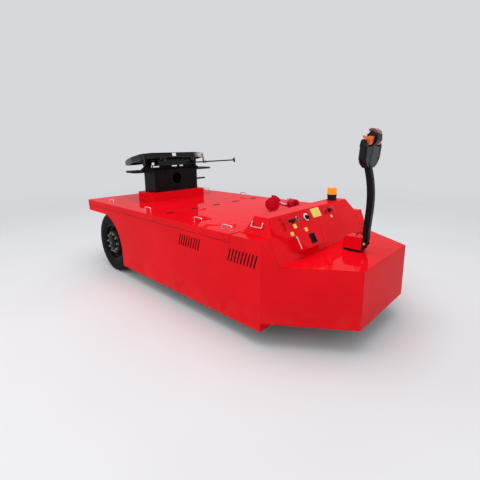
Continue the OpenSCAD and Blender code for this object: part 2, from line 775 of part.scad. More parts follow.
under = fifth_h - fifth_top_t;
ramp_x = -330;
ramp_drop = 16;
nose_drop = 7;
// Side view of the coupling plate between two depths below its surface, with pick-up ramps and an eased nose
module fifth_profile(d0, d1_front, d1_rear) across(-fifth_w, fifth_w) polygon([
    [fifth_front, fifth_h - nose_drop - d0], [fifth_front - 30, fifth_h - d0], [ramp_x, fifth_h - d0],
    [-fifth_rear, fifth_h - ramp_drop - d0], [-fifth_rear, fifth_h - ramp_drop - d1_rear],
    [ramp_x, fifth_h - d1_front], [fifth_front, fifth_h - d1_front]]);

rib_y = 105;
rib_h = 60;
rib_t = 12;
cross_x = 92;
cross_half = 322;
cross_foot = -30;
cross_flange = 10;
window_y = [150, 215, 280];
window_r = 20;
handle_r = 9;
hanger_x = cross_x + 38;
hanger_drop = under + 38;
hanger_y = [282, 474];
hanger_half = 15;
hanger_foot = 17;
handle_z = under - hanger_drop + handle_r + 10;
side_ribs_x = [-150, -260];
side_ribs_in = 40;
groove_w = 8;
groove_d = 3;
module fifth_ribs() {
    both_sides() {
        block([ramp_x, rib_y, fifth_h - rib_h], [fifth_front - skirt_t, rib_y + rib_t, under]);
        for (x = side_ribs_x)
            block([x, rib_y + rib_t, fifth_h - rib_h], [x + rib_t, fifth_w / 2 - side_ribs_in, under]);
        for (y = hanger_y) translate([hanger_x, y, 0])
            block([-hanger_half, 0, handle_z - hanger_foot], [hanger_half, rib_t, under]);
    }
    across(-cross_half, cross_half) polygon([
        [cross_x, under], [cross_x, cross_foot],
        [cross_x - rib_t, cross_foot], [cross_x - rib_t, cross_foot - cross_flange],
        [cross_x + 2 * rib_t, cross_foot - cross_flange], [cross_x + 2 * rib_t, cross_foot],
        [cross_x + rib_t, cross_foot], [cross_x + rib_t, under]]);
}

groove_arcs = [130, 200, 270];
groove_turn = 35;
groove_sweep = 55;
jaw_clear = 6;
lock_clear = 3;
ear_half = 70;
ear_r = 34;
// The coupling plate: ribbed underneath, with a V-shaped throat, grease grooves and ears on the rocking pins
module fifth_wheel() color("black") at_pivot() {
    difference() {
        union() {
            intersection() {
                translate([0, 0, fifth_h - ramp_drop - 2 * fifth_top_t])
                    linear_extrude(ramp_drop + 3 * fifth_top_t) polygon(fifth_outline(0));
                fifth_profile(0, fifth_top_t, fifth_top_t);
            }
            intersection() {
                linear_extrude(fifth_h) difference() {
                    polygon(fifth_outline(0));
                    polygon(fifth_outline(skirt_t));
                }
                fifth_profile(fifth_top_t, fifth_rim, fifth_rim - 20);
            }
            fifth_ribs();
        }
        both_sides() for (y = window_y) translate([cross_x - 2 * rib_t, y, (under + cross_foot) / 2])
            rotate([0, 90, 0]) cylinder(r = window_r, h = 5 * rib_t);
        both_sides() translate([hanger_x, 0, handle_z])
            shaft(handle_r + clear, hanger_y[0] - rib_t, hanger_y[1] + 3 * rib_t);
        both_sides() for (r = groove_arcs) translate([0, 0, fifth_h - groove_d]) rotate(groove_turn)
            rotate_extrude(angle = groove_sweep) translate([r, 0]) square([groove_w, groove_d + 1]);
        translate([0, 0, fifth_h - rib_h - 1]) cylinder(r = jaw_r + jaw_clear, h = rib_h + 1 - fifth_top_t);
        lock_bar(lock_clear);
    }
    both_sides() for (y = [ear_in, ear_out]) across(y, y + ear_t) difference() {
        polygon([[-ear_half, under], each arc(0, 0, ear_r, 200, 340, 12), [ear_half, under]]);
        circle(r = pin_r + 0.1);
    }
}

jaw_r = 56;
jaw_h = 60;
jaw_pivot = [-18, -78];
jaw_eye_r = 24;
jaw_bolt_r = 12;
lock_x = -74;
lock_w = 26;
lock_z = fifth_h - jaw_h + 8;
// The lock bar behind the jaw, grown by g for its guide through the throat's walls
module lock_bar(g) translate([lock_x, 0, lock_z])
    block([-g, 1 + g / 3 - rib_y, -g], [lock_w + g, rib_y - 1 - g / 3, lock_w + g]);

// Closed hook jaw with its pivot bolt and the lock bar
module lock_jaw() color("gray") at_pivot() {
    difference() {
        union() {
            translate([0, 0, fifth_h - jaw_h]) cylinder(r = jaw_r, h = jaw_h - fifth_top_t);
            translate([jaw_pivot.x, jaw_pivot.y, fifth_h - jaw_h + 6])
                cylinder(r = jaw_eye_r, h = jaw_h - fifth_top_t - 12);
        }
        translate([0, 0, fifth_h - jaw_h - 1]) cylinder(r = kingpin_r, h = jaw_h);
    }
    translate([jaw_pivot.x, jaw_pivot.y, fifth_h - jaw_h - 8])
        cylinder(r = jaw_bolt_r, h = jaw_h - fifth_top_t + 8);
    lock_bar(0);
}

// Release bar through the plate's hangers, bent forwards outside, with a cross grip
elbow_r = 13;
elbow_h = 26;
grip_h = 62;
handle_start = [hanger_x, 205, handle_z];
handle_bend = [hanger_x, 512, handle_z];
handle_end = [hanger_x + 260, 846, handle_z - 26];
module release_handle() color("black") at_pivot() {
    bar(handle_start, handle_bend, handle_r);
    translate(handle_bend - [0, 0, elbow_h / 2]) cylinder(r = elbow_r, h = elbow_h);
    bar(handle_bend, handle_end, handle_r);
    translate(handle_end - [0, 0, grip_h / 2]) cylinder(r = elbow_r, h = grip_h);
}

groove_at = [-50, 0, 50];
tread_groove = 9;
bulge_r = 58;
bead_y = tyre_w / 2 - 18;
lip_h = 13;
lip_t = 7;
// Tyre section, half: radius from the axle, then distance from the wheel's middle plane
function tyre_half() = [
    [rim_r, bead_y], [rim_r + lip_h + 2, bead_y], [rim_r + lip_h + 6, tyre_w / 2 - 9],
    [rim_r + 34, tyre_w / 2 - 2],
    [rim_r + bulge_r, tyre_w / 2], [tyre_r - 46, tyre_w / 2 - 1], [tyre_r - 18, tyre_w / 2 - 4],
    [tyre_r - 5, tyre_w / 2 - 9], [tyre_r - 1, tyre_w / 2 - 20]];
function groove(y) = [
    [tyre_r, y - tread_groove / 2], [tyre_r - tread_groove, y - tread_groove / 2 + 1],
    [tyre_r - tread_groove, y + tread_groove / 2 - 1], [tyre_r, y + tread_groove / 2]];
function tyre_section() = concat(
    [for (p = tyre_half()) [p.x, -p.y]], [for (y = groove_at) each groove(y)],
    [for (i = [len(tyre_half()) - 1:-1:0]) tyre_half()[i]]);

module wheel_at() translate([wheel_x, -wheel_y, tyre_r]) rotate([90, 0, 0]) children();

module tyre_right() color("black") wheel_at() rotate_extrude() polygon(tyre_section());

// Rim section: radius from the axle, then distance outwards from the wheel's middle plane.
// The disc is dished outwards, so that the nuts stand at the tyre's outer side.
well_r = rim_r - 34;
barrel_t = 8;
hump_y = 56;
disc_y = 92;
disc_t = 16;
disc_r = 142;
hub_r = 84;
hub_out = 118;
dish_r = 168;
dish_y = 44;
function rim_edge(s) = [
    [rim_r, s * bead_y], [rim_r + lip_h, s * bead_y], [rim_r + lip_h, s * (bead_y + lip_t)],
    [rim_r + 6, s * (bead_y + lip_t + 2)], [rim_r - barrel_t, s * (bead_y + 2)],
    [rim_r - barrel_t - 4, s * hump_y]];
function rim_section() = [
    each rim_edge(1), [well_r, 40], [well_r - 4, 32], [dish_r + 6, dish_y - 8], [dish_r, dish_y],
    each corner([dish_r, dish_y], [disc_r, disc_y], [hub_r, disc_y], 12, 4),
    [hub_r + 6, disc_y], [hub_r, disc_y + 4], [hub_r - 4, hub_out - 5], [hub_r - 9, hub_out], [0, hub_out],
    [0, spindle_out + clear], [spindle_r + clear, spindle_out + clear],
    [spindle_r + clear, -hub_in], [hub_r, -hub_in], [hub_r, disc_y - disc_t], [disc_r - 6, disc_y - disc_t],
    [dish_r - 12, dish_y - 12], [dish_r - 4, dish_y - 28],
    [well_r - barrel_t, 14], [well_r - barrel_t, -30], each [for (i = [5:-1:0]) rim_edge(-1)[i]]];
module rim() wheel_at() rotate_extrude() polygon(rim_section());

module rim_right() color("black") rim();
module tyre_left() mirror([0, 1, 0]) tyre_right();
module rim_left() mirror([0, 1, 0]) rim_right();

steer_at = front_x + steer_x;
cheek_y = drive_w / 2 + 12;
fork_half = 50;
cheek_t = 15;
turntable_r = 130;
drive_axle_r = 16;
motor_gap = 10;
motor_z = steer_plate_z + steer_plate_t + motor_gap;
module steering_fork() color("dimgray") translate([steer_at, 0, 0]) {
    translate([0, 0, fork_top_z]) cylinder(r = turntable_r, h = steer_plate_z - fork_top_z - clear);
    translate([0, 0, fork_top_z + 1]) cylinder(r = steer_bore - clear, h = motor_z - fork_top_z - 1);
    both_sides()
        block([-fork_half, cheek_y, drive_r - fork_half], [fork_half, cheek_y + cheek_t, fork_top_z]);
    translate([0, 0, drive_r]) shaft(drive_axle_r, -cheek_y, cheek_y);
}

motor_r = 95;
motor_h = 200;
fin_n = 7;
column_r = 40;
// Upright motor with cooling fins, and the column that carries the cap
module drive_motor() color("gray") translate([steer_at, 0, motor_z]) {
    rotate_extrude() polygon(concat(
        [[0, 0], [motor_r, 0], [motor_r, 30]],
        [for (i = [0:fin_n - 1], q = [[-9, 0], [-9, 8], [0, 8], [0, 16]]) [motor_r + q.x, 30 + i * 16 + q.y]],
        [[motor_r, motor_h], [0, motor_h]]));
    cylinder(r = column_r, h = nose_top_z + cap_gap - motor_z);
}

cap_z = nose_top_z + cap_gap;
cap_bevel = 30;
function cap_side(g) = [
    [g - cap_l / 2, g], [cap_l / 2 - g, g], [cap_l / 2 - g, cap_h - g],
    [cap_bevel + g / 2 - cap_l / 2, cap_h - g], [g - cap_l / 2, cap_h - cap_bevel - g / 2]];
module steering_cap() color("red") translate([steer_at, 0, cap_z]) difference() {
    across(-cap_w / 2, cap_w / 2) polygon(cap_side(0));
    across(sheet_t - cap_w / 2, cap_w / 2 - sheet_t) polygon(cap_side(sheet_t));
}

pin_ahead = 18;
pin_x = steer_at + cap_l / 2 + pin_ahead;
pin_z = nose_top_z + tiller_pin_h;
lug_y = arm_w / 2 + 3;
tiller_pin_r = 7;
tang_r = 13;
lug_t = 8;
lug_r = 20;
module tiller_bracket() color("black") {
    both_sides() across(lug_y, lug_y + lug_t) polygon([
        [steer_at + cap_l / 2, cap_z + 4], [pin_x - 4, cap_z + 4], each arc(pin_x, pin_z, lug_r, -70, 100, 8),
        [steer_at + cap_l / 2, pin_z + lug_r]]);
    translate([pin_x, 0, pin_z]) shaft(tiller_pin_r, -lug_y - lug_t - 2, lug_y + lug_t + 2);
}

drive_band = 35;
hub_recess = 5;
module at_drive() translate([steer_at, 0, drive_r]) rotate([90, 0, 0]) children();
module drive_tyre() color("black") at_drive() difference() {
    cylinder(r = drive_r, h = drive_w, center = true);
    cylinder(r = drive_r - drive_band, h = drive_w + 2, center = true);
}

module drive_hub() color("gray") at_drive() difference() {
    cylinder(r = drive_r - drive_band, h = drive_w - 2 * hub_recess, center = true);
    cylinder(r = drive_axle_r + clear, h = drive_w + 2, center = true);
}

// Centre line of the tiller arm: a cubic curve from the hinge pin to the head, leaning back at its top
arm_n = 16;
arm_lean = -21;
arm_curve = [[0, 0], [-6, arm_h / 3], [arm_bow, arm_h * 0.58], [arm_lean, arm_h]];
function curve(c, t) =
    c[0] * pow(1 - t, 3) + 3 * c[1] * t * pow(1 - t, 2) + 3 * c[2] * t * t * (1 - t) + c[3] * pow(t, 3);
function arm_at(t) = [pin_x, pin_z] + curve(arm_curve, t);
// The arm narrows to a tang at its foot
tang_h = cap_z + cap_h - pin_z + 12;
foot_h = 26;
module tiller_arm() color("black") difference() {
    union() {
        translate([pin_x, 0, pin_z]) shaft(tang_r, -arm_w / 2, arm_w / 2);
        across(-arm_w / 2, arm_w / 2) polygon(concat(
            [[pin_x - tang_r, pin_z], [pin_x - tang_r, pin_z + tang_h - foot_h / 2]],
            [for (i = [2:arm_n]) arm_at(i / arm_n) - [arm_w / 2, 0]],
            [for (i = [arm_n:-1:2]) arm_at(i / arm_n) + [arm_w / 2, 0]],
            [[pin_x + arm_w / 2, pin_z + tang_h - foot_h], [pin_x + tang_r, pin_z]]));
    }
    translate([pin_x, 0, pin_z]) shaft(tiller_pin_r + 0.1, -arm_w, arm_w);
}

head_at = [arm_at(1).x, 0, arm_at(1).y];
limb_r = 24;
limb_y = head_w / 2 - limb_r;
limb_top = head_h - 64;
limb_out = head_w / 2 - 4;
pod_half = 45;
pod_z = head_h - 64;
pod_c = [28, head_h - 6];
button_in = 27;
button_out = 49;
shield_h = head_h - 100;
// Plan sections of the head's right half, from the collar up:
// height, rear x, front x at the edge, front x on the centre line, half width
shield_rows = [
    [0, -30, 26, 12, 70], [34, -31, 30, 8, 122],
    [72, -30, 34, 12, limb_out - 8], [shield_h, -20, 42, 32, limb_out]];
shield_ease = 15;
module shield_slab(r) translate([0, 0, r[0]]) linear_extrude(1) polygon([
    [r[1], 0], [r[1], shield_ease - r[4]], [r[1] + shield_ease, -r[4]],
    [r[2] - shield_ease, -r[4]], [r[2], shield_ease - r[4]], [r[3], 0]]);

link_r = 13;
link_z = head_h - 74;
module tiller_head() color("dimgray") translate(head_at) {
    both_sides() {
        for (i = [0:len(shield_rows) - 2]) hull() {
            shield_slab(shield_rows[i]);
            shield_slab(shield_rows[i + 1]);
        }
        hull() {
            translate([-18, -limb_out, shield_h]) cube([56, 2 * limb_r, 1]);
            translate([8, -limb_y, limb_top]) sphere(r = limb_r, $fn = 20);
        }
        hull() {
            translate([2, 4 - limb_y, link_z]) sphere(r = link_r, $fn = 16);
            translate([-4, -pod_half, pod_z + 2]) sphere(r = link_r, $fn = 16);
        }
    }
    // Collar over the arm, column under the pod, and the control pod
    block([-arm_w / 2 - 5, -arm_w / 2 - 8, 0], [arm_w / 2 + 4, arm_w / 2 + 8, 14]);
    across(6 - pod_half, pod_half - 6) polygon([
        [-20, shield_h - 4], [32, shield_h - 4], [58, pod_z - 12], [66, pod_z], [-26, pod_z]]);
    across(-pod_half, pod_half) polygon(concat(
        rounded([[-10, head_h, 5], [-10, pod_z, 8], [78, pod_z, 16], [78, head_h, 5]]),
        arc(pod_c.x, pod_c.y, button_in, asin(6 / button_in), 180 - asin(6 / button_in), 12)));
}

// Butterfly thumb controls between the pod and the limbs
wing_y = [56, 104];
wing_at = [34, 0, head_h - 40];
module tiller_paddles() color("orange") translate(head_at + wing_at) both_sides() {
    shaft(7, pod_half + clear, limb_y - limb_r - 2);
    across(wing_y[0], wing_y[1]) polygon(rounded([
        [-54, 32, 5], [-24, 14, 12], [8, 22, 10], [24, 12, 8], [14, -26, 10], [0, -52, 8],
        [-18, -34, 12], [-20, -8, 14], [-52, 14, 8]]));
}

// Curved reversing button over the pod
module tiller_button() color("maroon") translate(head_at) across(-pod_half, pod_half) polygon(concat(
    arc(pod_c.x, pod_c.y, button_out, 9, 128, 14), arc(pod_c.x, pod_c.y, button_in + clear, 128, 16, 12)));

side_panel_right();
side_panel_left();
front_wall();
arch_bulkhead();
rear_wall();
floor_pan();
rear_rails();
rear_axle();
deck_beams();
battery_block();
deck_plate_rear();
deck_plate_middle();
deck_plate_front();
deck_handles();
front_cover();
console();
console_handles();
console_controls();
console_switches();
emergency_stop();
beacon_base();
beacon_lens();
deck_couplings();
nose_side_right();
nose_side_left();
nose_front();
nose_top_right();
nose_top_left();
slope_panel();
charge_door();
charge_door_handle();
charge_grille();
steer_plate();
riser();
pedestal();
mount_plate();
rocker_brackets();
fifth_wheel();
lock_jaw();
release_handle();
tyre_right();
rim_right();
tyre_left();
rim_left();
steering_fork();
drive_motor();
steering_cap();
tiller_bracket();
drive_tyre();
drive_hub();
tiller_arm();
tiller_head();
tiller_paddles();
tiller_button();
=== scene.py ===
"""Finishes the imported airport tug: enamel, tyres, fasteners, controls, lamp, plates and the stage."""

import json
import math

import bpy
from mathutils import Matrix, Vector

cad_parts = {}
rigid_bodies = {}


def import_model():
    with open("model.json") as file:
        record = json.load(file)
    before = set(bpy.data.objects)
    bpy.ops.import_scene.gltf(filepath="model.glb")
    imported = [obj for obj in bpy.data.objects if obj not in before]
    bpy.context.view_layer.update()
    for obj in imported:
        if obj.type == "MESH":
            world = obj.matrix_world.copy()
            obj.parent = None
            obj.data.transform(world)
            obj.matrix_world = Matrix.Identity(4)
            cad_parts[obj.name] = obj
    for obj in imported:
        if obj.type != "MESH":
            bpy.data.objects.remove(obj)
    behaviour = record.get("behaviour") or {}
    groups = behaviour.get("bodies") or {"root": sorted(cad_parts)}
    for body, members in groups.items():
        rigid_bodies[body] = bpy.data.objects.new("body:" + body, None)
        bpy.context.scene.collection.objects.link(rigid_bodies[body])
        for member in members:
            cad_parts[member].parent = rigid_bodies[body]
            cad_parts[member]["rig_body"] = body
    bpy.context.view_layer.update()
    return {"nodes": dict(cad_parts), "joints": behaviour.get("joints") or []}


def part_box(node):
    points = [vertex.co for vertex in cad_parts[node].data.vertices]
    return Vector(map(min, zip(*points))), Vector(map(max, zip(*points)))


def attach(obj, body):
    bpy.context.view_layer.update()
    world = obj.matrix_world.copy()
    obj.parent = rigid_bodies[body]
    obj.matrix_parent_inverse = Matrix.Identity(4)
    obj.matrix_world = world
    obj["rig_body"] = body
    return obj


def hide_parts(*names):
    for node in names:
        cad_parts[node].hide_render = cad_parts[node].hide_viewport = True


bl_info = {
    "name": "Airport Tug Finish",
    "version": (1, 0, 0),
    "blender": (4, 5, 0),
    "location": "3D View > Sidebar > Airport Tug",
    "description": "Enamel, tyres, fasteners, controls, lamp, plates and stage of an electric airport tug",
    "category": "Object",
}

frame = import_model()
NODES = frame["nodes"]


def middle(node):
    """The middle of a node's box."""
    low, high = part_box(node)
    return (low + high) / 2


def pivot(name):
    """The point that a joint turns about."""
    return Vector([joint for joint in frame["joints"] if joint["name"] == name][0]["pos_m"])


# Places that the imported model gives, in metres
DECK_LOW, DECK_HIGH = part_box("deck_plate_rear")
MIDDLE_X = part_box("deck_plate_middle")[0].x
FRONT_PLATE_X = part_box("deck_plate_front")[1].x
CONSOLE_LOW, CONSOLE_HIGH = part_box("console")
DECK_Z = DECK_HIGH.z
HALF_WIDTH = DECK_HIGH.y
FLANGE_Z = DECK_LOW.z
NOSE_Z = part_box("nose_top_right")[1].z
WHEEL_CENTRE = middle("tyre_right")
DRIVE_CENTRE = middle("drive_tyre")
CONSOLE_SETBACK = 0.004  # from the slope's top edge to the console's foot
BODY_FRONT = CONSOLE_HIGH.x + CONSOLE_SETBACK


# Faces that pieces are laid on: X to the vehicle's left, Y up the face, Z out of it

def face_frame(origin, across, up):
    """A matrix whose X runs across a face, whose Y runs up it and whose Z stands out of it."""
    across, up = Vector(across).normalized(), Vector(up).normalized()
    return Matrix.Translation(origin) @ Matrix((across, up, across.cross(up))).transposed().to_4x4()


CONSOLE_RUN = 0.085
CONSOLE_RISE = CONSOLE_HIGH.z - CONSOLE_LOW.z
CONSOLE_HALF = 0.736
CONSOLE_FACE = face_frame(
    (BODY_FRONT - CONSOLE_SETBACK, 0, CONSOLE_LOW.z), (0, 1, 0), (-CONSOLE_RUN, 0, CONSOLE_RISE))
SLOPE_RUN = 0.110
SLOPE_LENGTH = math.hypot(SLOPE_RUN, DECK_Z - NOSE_Z)
SLOPE_FACE = face_frame((BODY_FRONT, 0, DECK_Z), (0, 1, 0), (-SLOPE_RUN, 0, DECK_Z - NOSE_Z))


def up_console(z):
    """How far up the console's face a height is."""
    return (z - CONSOLE_LOW.z) / math.cos(math.atan2(CONSOLE_RUN, CONSOLE_RISE))


# Materials

def linear(code):
    """An sRGB hex colour as linear red, green, blue and alpha."""
    channels = [int(code[i:i + 2], 16) / 255 for i in (1, 3, 5)]
    return [c / 12.92 if c <= 0.04045 else ((c + 0.055) / 1.055) ** 2.4 for c in channels] + [1.0]


SMOOTH = {"interpolation_type": "SMOOTHSTEP"}
COLOURS = {"data_type": "RGBA", "out": 2}


def add(owner, kind, inputs=None, out=0, **settings):
    """Adds a shader node to a tree, or to a socket's tree, and returns one of its outputs, or none for None.

    An input takes another node's output, a hex colour or a plain value.
    """
    tree = owner.id_data
    made = tree.nodes.new("ShaderNode" + kind)
    for key, value in settings.items():
        setattr(made, key, value)
    for key, value in (inputs or {}).items():
        if isinstance(value, bpy.types.NodeSocket):
            tree.links.new(value, made.inputs[key])
        else:
            made.inputs[key].default_value = linear(value) if isinstance(value, str) else value
    return None if out is None else made.outputs[out]


def begin(name):
    """A new material, and the object's own coordinates in its tree."""
    made = bpy.data.materials.new(name)
    made.use_nodes = True
    made.node_tree.nodes.clear()
    return made, add(made.node_tree, "TexCoord", out="Object")


def surface(made, share, first, second, inputs):
    """Ends a material with its shader, whose colour goes from the first to the second by a share."""
    colour = add(made.node_tree, "Mix", {0: share, 6: first, 7: second}, **COLOURS)
    shader = add(made.node_tree, "BsdfPrincipled", {"Base Color": colour, **inputs})
    add(made.node_tree, "OutputMaterial", {"Surface": shader}, None)
    return made


def patches(place, size, detail, start=0.3, end=0.7, low=0.0, high=1.0):
    """A value that goes from low to high in soft patches about size metres across.

    Start and end are the noise values at which it is low and high, so they set how much is covered.
    """
    cloud = add(place, "TexNoise", {"Vector": place, "Scale": 1.0 / size, "Detail": detail})
    ends = {"From Min": start, "From Max": end, "To Min": low, "To Max": high}
    return add(place, "MapRange", {"Value": cloud, **ends}, **SMOOTH)


def grain(place, size, detail, depth):
    """A bump depth metres deep, of grains about size metres across."""
    height = add(place, "TexNoise", {"Vector": place, "Scale": 1.0 / size, "Detail": detail})
    return add(place, "Bump", {"Height": height, "Distance": depth})


def red_enamel(colours):
    """Two-pack enamel on folded sheet steel: deep gloss, slack sheet, road film low down."""
    made, place = begin("red_gloss_enamel")
    cloud = patches(place, 0.55, 2.0, 0.35, 0.65)
    clouds = add(place, "Mix", {0: cloud, 6: colours.body_red, 7: colours.body_red_deep}, **COLOURS)
    height = add(place, "SeparateXYZ", {"Vector": place}, "Z")
    ends = {"From Min": 0.42, "From Max": 0.12, "To Max": 0.12}
    low_down = add(place, "MapRange", {"Value": height, **ends}, **SMOOTH)
    film = add(place, "Math", {0: low_down, 1: patches(place, 0.09, 6.0, 0.4, 0.75)}, operation="MULTIPLY")
    # The sheet isn't dead flat between its folds, so long reflections waver
    slack = grain(place, 0.26, 1.0, 0.0011)
    return surface(made, film, clouds, colours.road_dust, {
        "IOR": 1.5, "Coat Weight": 0.3, "Coat Roughness": 0.03, "Coat IOR": 1.35, "Specular IOR Level": 0.0,
        "Roughness": patches(place, 0.12, 4.0, low=0.27, high=0.36),
        "Normal": slack, "Coat Normal": slack})


def black_enamel(colours):
    """Chassis black on plate and castings: half gloss, rubbed lighter where hands and tools touch it."""
    made, place = begin("black_chassis_enamel")
    scuff = patches(place, 0.035, 8.0, 0.58, 0.75, 0.0, 0.2)
    return surface(made, scuff, colours.chassis_black, "#3A3A3C", {
        "IOR": 1.5, "Coat Weight": 0.04, "Coat Roughness": 0.18, "Specular IOR Level": 0.08,
        "Roughness": patches(place, 0.05, 5.0, low=0.32, high=0.5),
        "Normal": grain(place, 0.0035, 3.0, 0.00008)})


def coupling_plate_steel(colours):
    """Cast coupling plate: black enamel, rubbed and greased on top, bright at a corner that trailers strike."""
    made, place = begin("greased_cast_steel")
    up = add(place, "SeparateXYZ", {"Vector": add(place, "NewGeometry", out="Normal")}, "Z")
    upward = add(place, "MapRange", {"Value": up, "From Min": 0.86, "From Max": 0.95, "To Max": 0.4}, **SMOOTH)
    # Trailers turn on the plate, so its rubbed patches are longest across it
    drawn_out = add(place, "Mapping", {"Vector": place, "Scale": (0.6, 0.3, 1.0)})
    worn = add(place, "Math", {0: upward, 1: patches(drawn_out, 0.16, 7.0, 0.3, 0.72)}, operation="MULTIPLY")
    rubbed = add(place, "Mix", {0: worn, 6: colours.chassis_black, 7: "#42403D"}, **COLOURS)
    struck = add(place, "VectorMath", {0: place, 1: (-0.985, 0.43, 1.50)}, "Value", operation="DISTANCE")
    near = add(place, "MapRange", {"Value": struck, "From Min": 0.2, "From Max": 0.07}, **SMOOTH)
    bright = add(place, "Math", {0: near, 1: patches(place, 0.012, 5.0, 0.3, 0.5)}, operation="MULTIPLY")
    return surface(made, bright, rubbed, "#DEDDD9", {
        "IOR": 1.5, "Coat Weight": 0.12, "Coat Roughness": 0.16, "Specular IOR Level": 0.18,
        "Metallic": add(place, "Math", {0: bright, 1: 0.4}, operation="MULTIPLY"),
        "Roughness": patches(place, 0.02, 6.0, low=0.22, high=0.42),
        "Normal": grain(place, 0.004, 4.0, 0.00015)})


def frame_primer(colours):
    """Grey-black epoxy primer on the frame, dulled all over by dust."""
    made, place = begin("frame_primer")
    dust = patches(place, 0.06, 6.0, 0.4, 0.7)
    share = add(place, "Math", {0: dust, 1: 0.4}, operation="MULTIPLY")
    return surface(made, share, "#242526", "#6A625A", {
        "IOR": 1.5, "Specular IOR Level": 0.35,
        "Roughness": add(place, "MapRange", {"Value": dust, "To Min": 0.55, "To Max": 0.8}, **SMOOTH),
        "Normal": grain(place, 0.004, 3.0, 0.0001)})


def metal(name, colour, dark, low, high, size, depth):
    """A bare metal's maker, from its colours, roughness from low to high, and its grain's size and depth."""
    def build(colours):
        made, place = begin(name)
        tarnish = patches(place, 0.02, 6.0, 0.45, 0.75, 0.0, 0.5)
        return surface(made, tarnish, colour, dark, {
            "Metallic": 1.0,
            "Roughness": patches(place, 0.012, 5.0, low=low, high=high),
            "Normal": grain(place, size, 2.0, depth)})
    return build


def plastic(name, colour, light, low, high, size, depth, coat=0.0):
    """A moulded plastic's maker, from its colour, scuffs, roughness from low to high, grain and gloss coat."""
    def build(colours):
        made, place = begin(name)
        rub = patches(place, 0.02, 7.0, 0.5, 0.75, 0.0, 0.35)
        return surface(made, rub, colour, light, {
            "IOR": 1.47, "Coat Weight": coat, "Coat Roughness": 0.08, "Specular IOR Level": 0.16,
            "Roughness": patches(place, 0.03, 4.0, low=low, high=high),
            "Normal": grain(place, size, 2.0, depth)})
    return build


def rubber(name, colour, dust, centre):
    """A tyre rubber's maker: matt black, fine pores, road dust towards the tread."""
    def build(colours):
        made, place = begin(name)
        flat = add(place, "VectorMath", {0: place, 1: (1, 0, 1)}, operation="MULTIPLY")
        radius = add(place, "VectorMath", {0: flat, 1: (centre.x, 0, centre.z)}, "Value", operation="DISTANCE")
        # The tyre stands on the ground, so its middle's height is its radius
        ends = {"From Min": centre.z - 0.05, "From Max": centre.z, "To Max": 0.3}
        tread = add(place, "MapRange", {"Value": radius, **ends}, **SMOOTH)
        patch = patches(place, 0.05, 6.0, 0.35, 0.7)
        film = add(place, "Math", {0: patch, 1: 0.12}, operation="MULTIPLY")
        share = add(place, "Math", {0: tread, 1: film}, operation="MAXIMUM")
        return surface(made, share, colour, dust, {
            "IOR": 1.5, "Specular IOR Level": 0.09,
            "Roughness": add(place, "MapRange", {"Value": patch, "To Min": 0.6, "To Max": 0.82}, **SMOOTH),
            "Normal": grain(place, 0.0025, 3.0, 0.00012)})
    return build


def amber_lens(colours):
    """Moulded amber polycarbonate: clear colour, with a faint painted glow in its own colours; the lamp inside
    gives no light.
    """
    made, place = begin("amber_polycarbonate")
    cloud, light, deep = patches(place, 0.03, 2.0), "#FFB210", "#FAA806"
    return surface(made, cloud, light, deep, {
        "IOR": 1.45, "Roughness": 0.1, "Transmission Weight": 0.35, "Coat Weight": 0.3, "Coat Roughness": 0.04,
        # The emission is a painted glow: the lens shines faintly as if the lamp inside were lit
        "Emission Color": add(place, "Mix", {0: cloud, 6: light, 7: deep}, **COLOURS), "Emission Strength": 0.15,
        "Normal": grain(place, 0.006, 1.0, 0.00004)})


def yellow_plate(colours):
    """Self-adhesive yellow vinyl, bare: satin, slightly sun-faded, faintly lifted at its grain."""
    made, place = begin("yellow_vinyl")
    faded = patches(place, 0.02, 3.0)
    return surface(made, faded, "#EFDD6A", "#E6CF4E", {
        "IOR": 1.46, "Coat Weight": 0.25, "Coat Roughness": 0.2,
        "Roughness": patches(place, 0.01, 3.0, low=0.3, high=0.45),
        "Normal": grain(place, 0.006, 2.0, 0.00006)})


def battery_shell(colours):
    """Battery trough: grey powder coat with a coarse texture."""
    made, place = begin("battery_powder_coat")
    shade = patches(place, 0.08, 5.0, 0.35, 0.65)
    return surface(made, shade, "#46494D", "#3A3C40", {
        "IOR": 1.5,
        "Roughness": patches(place, 0.03, 4.0, low=0.55, high=0.7),
        "Normal": grain(place, 0.0018, 2.0, 0.0001)})


